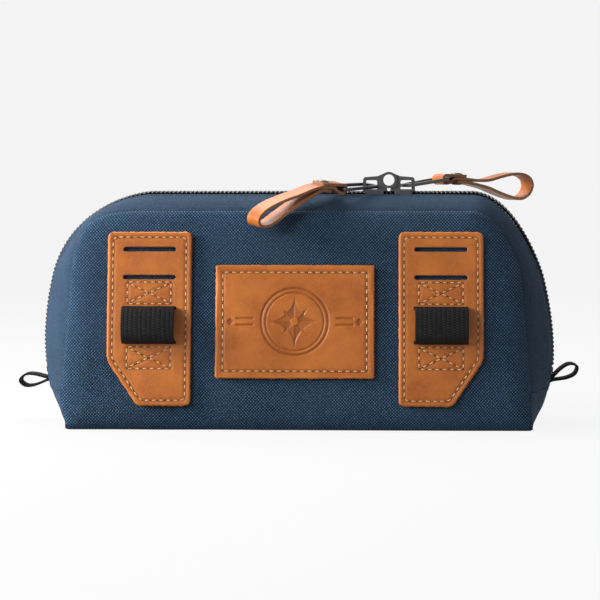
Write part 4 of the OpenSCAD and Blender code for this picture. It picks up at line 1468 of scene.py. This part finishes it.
        bm = self.shop.sheet(name, columns, rows, place, lambda a, b: spots(a, b),
                             lambda spot: Vector((0, -1, 0)), marks={"worn": worn, "press": pressed})
        faces = list(bm.faces)
        bmesh.ops.solidify(bm, geom=faces, thickness=self.thick * 0.93 * MM)
        bm.normal_update()
        out = Vector((0, -math.cos(form.lean), math.sin(form.lean)))
        for f in bm.faces:
            if abs(f.normal.dot(out)) < 0.45:
                f.material_index = 1
        return self.shop.publish(bm, name, [self.shop.finishes.leather, self.shop.finishes.raw_edge])

    def slotted(self, piece: bpy.types.Object, side: Side) -> None:
        """Cuts the two lash slots and the loop's two openings through a patch."""
        form = self.form
        centre = self.patch_in + self.patch_w / 2
        cuts = [(self.top - 8.5, self.web_w, 2.2, 1.05), (self.top - 22.0, self.web_w, 2.2, 1.05),
                (self.top - 36.8, self.web_w + 0.6, 1.6, 0.3), (self.top - 53.2, self.web_w + 0.6, 1.6, 0.3)]
        bm = bmesh.new()
        for t, wide, tall, r in cuts:
            made = bmesh.ops.create_cube(bm, size=1.0)
            bmesh.ops.scale(bm, vec=(wide * MM, tall * MM, 8 * MM), verts=made["verts"])
            uprights = {e for v in made["verts"] for e in v.link_edges
                        if abs(e.verts[0].co.z - e.verts[1].co.z) > 0.001}
            made = bmesh.ops.bevel(bm, geom=list(uprights), offset=r * MM, segments=4, profile=0.5,
                                   affect="EDGES", material=-1)
            island = set(made["faces"])
            grow = list(island)
            while grow:
                for e in grow.pop().edges:
                    for f in e.link_faces:
                        if f not in island:
                            island.add(f)
                            grow.append(f)
            verts = {v for f in island for v in f.verts}
            spot = Vector(form.face(np.array([side.value * centre]), np.array([t]), np.array([1.0]))[0]) * MM
            turn = Matrix.Rotation(math.pi / 2 - form.lean, 4, "X")
            bmesh.ops.transform(bm, matrix=Matrix.Translation(spot) @ turn, verts=list(verts))
        cutter = self.shop.publish(bm, "slot_cutter", [self.shop.finishes.raw_edge], smooth=False)
        cut = piece.modifiers.new("slots", "BOOLEAN")
        cut.object = cutter
        cut.solver = "EXACT"
        cut.material_mode = "TRANSFER"
        graph = bpy.context.evaluated_depsgraph_get()
        done = bpy.data.meshes.new_from_object(piece.evaluated_get(graph))
        piece.modifiers.clear()
        old, piece.data = piece.data, done
        bpy.data.meshes.remove(old)
        bpy.data.objects.remove(cutter)

    def patch(self, side: Side) -> bpy.types.Object:
        """One lash patch, pressed in along its stitching, with its slots cut through."""
        seam, rim = self.outline(2.7), self.outline(0.0)
        boxes = [self.box_lines(self.top - 24.4 - self.box_h), self.box_lines(self.top - 55.5 - self.box_h)]

        def spots(a: Array, b: Array) -> Array:
            """Rows from the inner edge to the outer edge."""
            t = self.low + (self.top - self.low) * b
            inner, outer = self.bounds_at(t)
            return np.stack([inner + (outer - inner) * a, t], 1)

        def edge(x: Array, t: Array) -> Array:
            """Distance to the cut edge."""
            return self.distance(x, t, rim)

        def press(x: Array, t: Array) -> Array:
            """Depth of the pressed lines."""
            depth = 0.3 * np.exp(-(self.distance(x, t, seam) / 0.75) ** 2)
            for lines in boxes:
                for line in lines:
                    depth = np.maximum(depth, 0.28 * np.exp(-(self.distance(x, t, line) / 0.7) ** 2))
            return depth

        piece = self.plate(f"lash_patch_{side.word}_leather", 62, 122, spots, press, edge, side)
        self.slotted(piece, side)
        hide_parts(f"lash_patch_{side.word}")
        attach(piece, "front")
        return report(piece)

    def box_lines(self, t: float) -> list[Array]:
        """The four sides and two diagonals of a stitched box whose foot is at t."""
        x = self.patch_in + (self.patch_w - self.box_w) / 2
        w, h = self.box_w, self.box_h
        loop = np.array([[x, t], [x + w, t], [x + w, t + h], [x, t + h], [x, t]])
        return [loop, np.array([[x + 1.2, t + 0.8], [x + w - 1.2, t + h - 0.8]]),
                np.array([[x + 1.2, t + h - 0.8], [x + w - 1.2, t + 0.8]])]

    def patch_stitching(self, side: Side) -> bpy.types.Object:
        """The patch's outline stitching and its two stitched boxes."""
        top = 0.05 + self.thick - 0.22
        rows = [self.lift(self.outline(2.7), side, top)]
        for t in (self.top - 24.4 - self.box_h, self.top - 55.5 - self.box_h):
            rows += [self.lift(line, side, top) for line in self.box_lines(t)]
        piece = self.shop.stitches(f"lash_patch_{side.word}_stitching", rows, 2.3, 3.4, 0.36,
                                   self.shop.finishes.thread, self.shop.finishes.hole)
        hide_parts(f"patch_thread_{side.word}")
        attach(piece, "front")
        return report(piece)

    def loop(self, side: Side) -> bpy.types.Object:
        """One webbing loop, standing out through the patch."""
        a = self.top - 36.8
        b = a - 16.4
        path = smooth_line([(a + 11, 0.62), (a + 2.4, 0.62), (a + 0.5, 1.0), (a, 3.0), (a - 0.3, 6.2),
                            (a - 2.4, 9.1), ((a + b) / 2, 10.0), (b + 2.4, 9.1), (b + 0.3, 6.2), (b, 3.0),
                            (b - 0.5, 1.0), (b - 2.4, 0.62), (b - 11, 0.62)], 121)
        centre = self.patch_in + self.patch_w / 2
        run = run_along(path)
        middle = path.mean(0)

        def place(u: Array, v: Array) -> Array:
            """The webbing's middle surface."""
            index = u * (len(path) - 1)
            t = np.interp(index, np.arange(len(path)), path[:, 0])
            n = np.interp(index, np.arange(len(path)), path[:, 1])
            out = smoothstep((n - 5) / 4)
            bow = 0.5 * out * (1 - (2 * v - 1) ** 2)
            x = centre + (v - 0.5) * (self.web_w - 0.1 * out)
            return self.form.face(side.value * x, t, n + bow)

        def chart(u: Array, v: Array) -> Array:
            """The webbing's own flat weave."""
            along = np.interp(u * (len(path) - 1), np.arange(len(path)), run)
            return np.stack([(v - 0.5) * self.web_w, along], 1)

        core = Vector(self.form.face(np.array([side.value * centre]), middle[:1], np.array([4.0]))[0]) * MM
        bm = self.shop.sheet("loop", 120, 24, place, chart,
                             lambda spot: Vector((0, spot.y - core.y, spot.z - core.z)))
        piece = self.shop.publish(bm, f"webbing_loop_{side.word}_strap", [self.shop.finishes.webbing])
        self.shop.thicken(piece, 1.05, 0.0)
        self.shop.soften(piece, 0.25, 2, 50)
        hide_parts(f"webbing_loop_{side.word}")
        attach(piece, "front")
        return report(piece)

    def build(self) -> None:
        """Builds both patches with their loops."""
        for side in Side:
            self.patch(side)
            self.patch_stitching(side)
            self.loop(side)


@dataclass
class Badge(Patches):
    """The stitched leather badge, pressed with a plain compass."""

    half_badge: float = 38.0
    badge_h: float = 54.5
    badge_foot: float = 25.0
    seam_in: float = 3.6

    def compass(self, x: Array, t: Array) -> Array:
        """How deep the pressed compass is, from 0 to 1.

        Args:
            x: places along the badge from its middle.
            t: places up it from its middle.

        Returns:
            The depth at each place.
        """
        r = np.hypot(x, t)
        ring = np.maximum(np.exp(-((r - 16.0) / 0.5) ** 2), 0.8 * np.exp(-((r - 13.9) / 0.32) ** 2))
        diag = (x + t) / math.sqrt(2), (x - t) / math.sqrt(2)
        power = 0.62
        long = (np.abs(x) ** power + np.abs(t) ** power) / 12.4 ** power
        short = (np.abs(diag[0]) ** power + np.abs(diag[1]) ** power) / 9.0 ** power
        star = smoothstep((1.0 - np.minimum(long, short)) / 0.07) * (1 - 0.0 * r)
        hub = smoothstep((2.1 - r) / 0.4)
        star = star * (1 - hub) * (0.55 + 0.45 * (np.sin(4 * np.arctan2(t, x)) > 0))
        rules = np.zeros(len(x))
        for row in (-1.6, 1.6):
            near = np.exp(-((t - row) / 0.42) ** 2)
            rules = np.maximum(rules, near * (np.abs(x) > 19.5) * (np.abs(x) < 28.0))
        diamond = smoothstep((1.9 - np.abs(np.abs(x) - 30.8) - np.abs(t)) / 0.4)
        return np.clip(np.maximum.reduce([ring, star, rules, diamond]), 0, 1)

    def frame_line(self, inset: float) -> Array:
        """The badge's outline, moved inwards, as [x, t] rows."""
        x, low = self.half_badge - inset, self.badge_foot / math.cos(self.form.lean) + inset
        top = low + self.badge_h - 2 * inset
        return np.array([[-x, low], [x, low], [x, top], [-x, top], [-x, low]])

    def build(self) -> None:
        """Builds the badge and its stitching."""
        low = self.badge_foot / math.cos(self.form.lean)
        middle = low + self.badge_h / 2
        seam = self.frame_line(self.seam_in)

        def spots(a: Array, b: Array) -> Array:
            """A rectangle with slightly rounded corners."""
            x, t = (2 * a - 1) * self.half_badge, low + self.badge_h * b
            d = np.clip(1 - np.minimum(t - low, low + self.badge_h - t) / 1.3, 0, 1)
            return np.stack([x * (1 - 1.3 * (1 - np.sqrt(1 - d ** 2)) / self.half_badge), t], 1)

        def edge(x: Array, t: Array) -> Array:
            """Distance to the cut edge."""
            return np.minimum(self.half_badge - np.abs(x), np.minimum(t - low, low + self.badge_h - t))

        def press(x: Array, t: Array) -> Array:
            """Depth of the pressed lines."""
            line = 0.3 * np.exp(-(self.distance(x, t, seam) / 0.75) ** 2)
            return np.maximum(line, 0.42 * self.compass(x, t - middle))

        piece = self.plate("badge_leather", 250, 180, spots, press, edge, Side.RIGHT)
        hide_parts("badge")
        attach(piece, "front")
        report(piece)
        sides = [seam[k:k + 2] for k in range(4)]
        rows = [self.lift(even_line(s, 30), Side.RIGHT, 0.05 + self.thick - 0.22) for s in sides]
        thread = self.shop.stitches("badge_stitching", rows, 2.5, 3.6, 0.38, self.shop.finishes.thread,
                                    self.shop.finishes.hole)
        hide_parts("badge_thread")
        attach(thread, "front")
        report(thread)


@dataclass
class Pull:
    """One zip pull: its slider, its metal link, and the leather strap with its rivet."""

    side: Side
    shop: Workshop
    frame: dict
    pivot_x: float
    yaw: float
    slope: float
    roll: float
    bend: float
    tail: Sequence[tuple[float, float]]
    pivot_z: float = 116.8
    link_l: float = 21.0
    strap_w: float = 9.6
    strap_t: float = 1.5
    link_t: float = 1.6
    ply_gap: float = 0.1
    rivet_s: float = 9.0

    def place(self) -> Matrix:
        """The strap's own axes: X away from the slider, Y across, Z up, from the link's outer bar."""
        return (Matrix.Translation((self.pivot_x * MM, 0, self.pivot_z * MM))
                @ Matrix.Rotation(math.radians(self.yaw), 4, "Z")
                @ Matrix.Rotation(math.radians(self.slope), 4, "Y")
                @ Matrix.Rotation(math.radians(self.roll), 4, "X")
                @ Matrix.Translation((self.link_l * MM, 0, 0))
                @ Matrix.Rotation(math.radians(-self.bend), 4, "Y"))

    @property
    def wrap(self) -> float:
        """How far the strap's middle runs from the middle of the link's bar."""
        return math.hypot(self.link_t, self.link_t) / 2 + self.ply_gap + self.strap_t / 2

    def strap_line(self) -> Array:
        """The strap's line in the pull's own axes, from its short end round the bar and back."""
        wrap = self.wrap
        middle = wrap - self.strap_t - self.ply_gap
        low = middle - self.strap_t - self.ply_gap
        turn = [(wrap * math.cos(math.radians(a)), wrap * math.sin(math.radians(a)))
                for a in range(90, 271, 20)]
        points = [(self.rivet_s + 3.5, wrap - 0.1), (self.rivet_s, wrap), (2.5, wrap), *turn,
                  (1.9, -wrap + 0.3), (3.7, -0.75), (5.4, middle), (self.rivet_s + 0.5, middle),
                  (self.rivet_s + 4.4, middle), *self.tail, (self.rivet_s + 3.7, low), (self.rivet_s, low),
                  (6.4, low)]
        return smooth_line(points, 240)

    def strap(self) -> bpy.types.Object:
        """The leather strap, bent into a loop with a raw edge all round."""
        line = self.strap_line()
        run = run_along(line)
        index = np.arange(len(line))
        matrix = self.place()
        fray = Slack(9 + self.side.value, 2.2, 0.2, 12)

        def place(a: Array, b: Array) -> Array:
            """The strap's middle surface."""
            at = a * (len(line) - 1)
            x, z = (np.interp(at, index, line[:, k]) for k in (0, 1))
            s = np.interp(at, index, run)
            end = 1.2 * (1 - np.sqrt(1 - np.clip(1 - np.minimum(s, run[-1] - s) / 1.2, 0, 1) ** 2))
            half = self.strap_w / 2 - end
            rim = np.abs(2 * b - 1) > 1 - 1e-6
            y = (2 * b - 1) * (half + fray(s, y_sign(b)) * rim)
            local = np.stack([x, y, z, np.full(len(x), 1 / MM)], 1) * MM
            return (local @ np.array(matrix).T)[:, :3] / MM

        def y_sign(b: Array) -> Array:
            """Keeps the two edges' frays apart."""
            return np.where(b > 0.5, 40.0, 0.0)

        def chart(a: Array, b: Array) -> Array:
            """The strap's own flat leather."""
            return np.stack([a * run[-1], b * self.strap_w], 1)

        def worn(_: Array, b: Array) -> Array:
            """How worn the leather is, which is most at its edges."""
            return np.clip((np.abs(2 * b - 1) - 0.72) / 0.28, 0, 1)

        bm = self.shop.sheet("strap", 239, 16, place, chart, away_from_middle, marks={"worn": worn})
        name = f"leather_pull_{self.side.word}_strap"
        piece = self.shop.publish(bm, name, [self.shop.finishes.leather, self.shop.finishes.raw_edge])
        self.shop.thicken(piece, self.strap_t - 0.05, 0.0, 1)
        self.shop.soften(piece, 0.28, 2, 50)
        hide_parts(f"leather_pull_{self.side.word}")
        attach(piece, f"{self.side.word}_pull")
        return report(piece)

    def rivet(self) -> bpy.types.Object:
        """A domed rivet through the strap's three layers."""
        top = self.wrap + self.strap_t / 2
        low = self.wrap - 2 * (self.strap_t + self.ply_gap) - self.strap_t / 2
        profile = [(0, top + 0.82), (1.1, top + 0.79), (2.1, top + 0.64), (2.75, top + 0.38),
                   (3.0, top + 0.08), (2.9, top - 0.05), (1.3, top - 0.1), (1.3, low + 0.1),
                   (2.6, low + 0.02), (2.7, low - 0.2),
                   (2.35, low - 0.5), (1.4, low - 0.62), (0, low - 0.64)]
        bm = bmesh.new()
        verts = [bm.verts.new((r * MM, 0, z * MM)) for r, z in profile]
        edges = [bm.edges.new(pair) for pair in zip(verts[:-1], verts[1:])]
        bmesh.ops.spin(bm, geom=verts + edges, cent=(0, 0, 0), axis=(0, 0, 1), angle=math.tau, steps=36,
                       use_merge=True)
        bmesh.ops.remove_doubles(bm, verts=bm.verts, dist=0.01 * MM)
        bmesh.ops.recalc_face_normals(bm, faces=bm.faces)
        move = self.place() @ Matrix.Translation((self.rivet_s * MM, 0, 0))
        bmesh.ops.transform(bm, matrix=move, verts=bm.verts)
        piece = self.shop.publish(bm, f"rivet_{self.side.word}_stud", [self.shop.finishes.metal])
        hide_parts(f"rivet_{self.side.word}")
        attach(piece, f"{self.side.word}_pull")
        return report(piece)

    def build(self) -> None:
        """Builds the strap and the rivet and rounds the metal."""
        self.strap()
        self.rivet()
        for node, width, body in ((f"slider_{self.side.word}", 0.22, f"{self.side.word}_slider"),
                                  (f"pull_link_{self.side.word}", 0.42, f"{self.side.word}_link")):
            piece = self.shop.softened_node(self.frame, node, self.shop.finishes.metal, width,
                                            node + "_metal")
            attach(piece, body)
            report(piece)


@dataclass
class Tab:
    """A small webbing loop at one end of the zip."""

    side: Side
    form: PouchForm
    shop: Workshop
    tilt: float
    width: float = 9.0
    length: float = 15.5
    height: float = 6.5
    z: float = 20.5

    def build(self) -> bpy.types.Object:
        """Builds the loop.

        Returns:
            The webbing loop.
        """
        length, h = self.length, self.height
        line = smooth_line([(-2.5, 0.56), (0, 0.56), (1.5, 0.75), (0.5 * length, 0.42 * h),
                            (0.8 * length, 0.42 * h), (length - 0.5, 0), (0.8 * length, -0.42 * h),
                            (0.5 * length, -0.42 * h), (1.5, -0.75), (0, -0.56), (-2.5, -0.56)], 90)
        root = self.form.wall(np.array([self.form.run_at(self.side, self.z)]), np.zeros(1), np.zeros(1))[0]
        turn = math.radians(self.tilt)
        index = np.arange(len(line))
        run = run_along(line)

        def place(a: Array, b: Array) -> Array:
            """The webbing's middle surface."""
            x, z = (np.interp(a * (len(line) - 1), index, line[:, k]) for k in (0, 1))
            out = x * math.cos(turn) - z * math.sin(turn)
            up = x * math.sin(turn) + z * math.cos(turn)
            return np.stack([root[0] + self.side.value * out, (2 * b - 1) * self.width / 2, root[2] + up], 1)

        def chart(a: Array, b: Array) -> Array:
            """The webbing's own flat weave."""
            return np.stack([b * self.width, a * run[-1]], 1)

        core = Vector((root[0] + self.side.value * 9 * math.cos(turn), 0, root[2] + 9 * math.sin(turn))) * MM
        bm = self.shop.sheet("tab", 89, 8, place, chart,
                             lambda spot: Vector((spot.x - core.x, 0, spot.z - core.z)))
        piece = self.shop.publish(bm, f"side_tab_{self.side.word}_webbing", [self.shop.finishes.webbing])
        self.shop.thicken(piece, 0.95, 0.0)
        self.shop.soften(piece, 0.22, 2, 50)
        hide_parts(f"side_tab_{self.side.word}")
        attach(piece, f"{self.side.word}_tab")
        return report(piece)


@dataclass
class Studio:
    """A pale floor that curves up behind, soft lights and the camera."""

    finishes: Finishes
    shop: Workshop

    def floor(self) -> None:
        """Builds the floor and the backdrop as one round sheet that turns up at its rim."""
        flat, bend, wall = 1.6, 0.9, 1.2
        turns = np.linspace(0, math.pi / 2, 24)
        rim = [(flat + bend * math.sin(t), bend * (1 - math.cos(t))) for t in turns]
        bm = bmesh.new()
        line = [bm.verts.new((r, 0, z)) for r, z in [(0, 0), *rim, (flat + bend, bend + wall)]]
        edges = [bm.edges.new(pair) for pair in zip(line, line[1:])]
        bmesh.ops.spin(bm, geom=line + edges, cent=(0, 0, 0), axis=(0, 0, 1), angle=2 * math.pi, steps=72,
                       use_merge=True)
        bmesh.ops.remove_doubles(bm, verts=bm.verts, dist=1e-5)
        bmesh.ops.recalc_face_normals(bm, faces=bm.faces)
        for face in bm.faces:
            face.smooth = True
        mesh = bpy.data.meshes.new("studio_floor")
        bm.to_mesh(mesh)
        bm.free()
        floor = bpy.data.objects.new("studio_floor", mesh)
        bpy.context.scene.collection.objects.link(floor)
        mesh.materials.append(self.finishes.floor)
        floor.visible_diffuse = False

    def lamp(self, name: str, spot: Sequence[float], aim: Sequence[float], size: float, watts: float,
             colour: Colour = (1, 1, 1)) -> None:
        """Adds one soft square light.

        Args:
            name: the light's name.
            spot: where it stands, in metres.
            aim: what it points at.
            size: its side in metres.
            watts: its power.
            colour: its colour.
        """
        data = bpy.data.lights.new(name, "AREA")
        data.size = size
        data.energy = watts
        data.color = colour
        lamp = bpy.data.objects.new(name, data)
        lamp.location = spot
        lamp.rotation_euler = (Vector(aim) - Vector(spot)).to_track_quat("-Z", "Y").to_euler()
        bpy.context.scene.collection.objects.link(lamp)

    def camera(self) -> None:
        """Sets the camera in front, a little above and to the right."""
        turn, rise, far = math.radians(1.66), math.radians(4.0), 0.9
        aim = Vector((0.002656, -0.045, 0.062975))
        spot = aim + far * Vector((math.sin(turn) * math.cos(rise), -math.cos(turn) * math.cos(rise),
                                   math.sin(rise)))
        data = bpy.data.cameras.new("camera")
        data.sensor_width = 36.0
        data.lens = 1900.1 / 600 * 36.0
        data.clip_start = 0.02
        data.clip_end = 60
        camera = bpy.data.objects.new("camera", data)
        camera.location = spot
        camera.rotation_euler = (aim - spot).to_track_quat("-Z", "Y").to_euler()
        bpy.context.scene.collection.objects.link(camera)
        bpy.context.scene.camera = camera

    def build(self) -> None:
        """Builds the whole studio."""
        scene = bpy.context.scene
        self.floor()
        self.camera()
        self.lamp("key_side", (-0.60, -0.14, 0.30), (-0.02, -0.04, 0.06), 0.22, 7.5)
        self.lamp("key_front", (-0.62, -0.72, 0.42), (0, -0.04, 0.05), 0.36, 5.5)
        self.lamp("fill_right", (0.8, -1.4, 0.6), (0, 0, 0.05), 1.0, 2.5)
        self.lamp("top_rear", (-0.15, 0.30, 0.62), (0, 0, 0.10), 0.4, 4.0)
        world = bpy.data.worlds.new("studio_air")
        world.use_nodes = True
        air = world.node_tree.nodes["Background"]
        air.inputs[0].default_value = (1.0, 1.0, 1.0, 1.0)
        air.inputs[1].default_value = 0.26
        scene.world = world
        scene.view_settings.view_transform = "Standard"
        scene.view_settings.look = "None"


LEFT_TAIL = [(19, -1.2), (25, -3.6), (32, -5.9), (39.5, -8.9), (45, -12.3), (47.6, -16), (46, -19),
             (40.8, -18.6), (33.2, -13.6), (26.5, -9.2), (20.5, -5.4)]
RIGHT_TAIL = [(19, 0), (26, 0.4), (34, 2.6), (41, 4), (47, 3.8), (51, 1.7), (52.2, -1.8), (50.2, -6),
              (45.5, -8.4), (39, -7.6), (31, -5.3), (24, -3.1)]


def main(frame: dict) -> None:
    """Builds the pouch's looks round the frame.
    """
    logging.basicConfig(level=logging.INFO, format="%(message)s")
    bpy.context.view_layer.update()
    finishes = Finishes()
    shop = Workshop(finishes)
    form = PouchForm()
    Studio(finishes, shop).build()
    Shell(form, shop).build()
    Inside(form, shop, frame).build()
    Zip(form, shop, frame).build()
    Patches(form, shop).build()
    Badge(form, shop).build()
    Pull(Side.LEFT, shop, frame, 36.8, 217.0, 3.0, -8.0, 5.0, LEFT_TAIL).build()
    Pull(Side.RIGHT, shop, frame, 53.8, 30.0, -8.0, 0.0, -10.0, RIGHT_TAIL).build()
    Tab(Side.LEFT, form, shop, -4.0).build()
    Tab(Side.RIGHT, form, shop, 27.0).build()


if __name__ == "__main__":
    main(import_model())
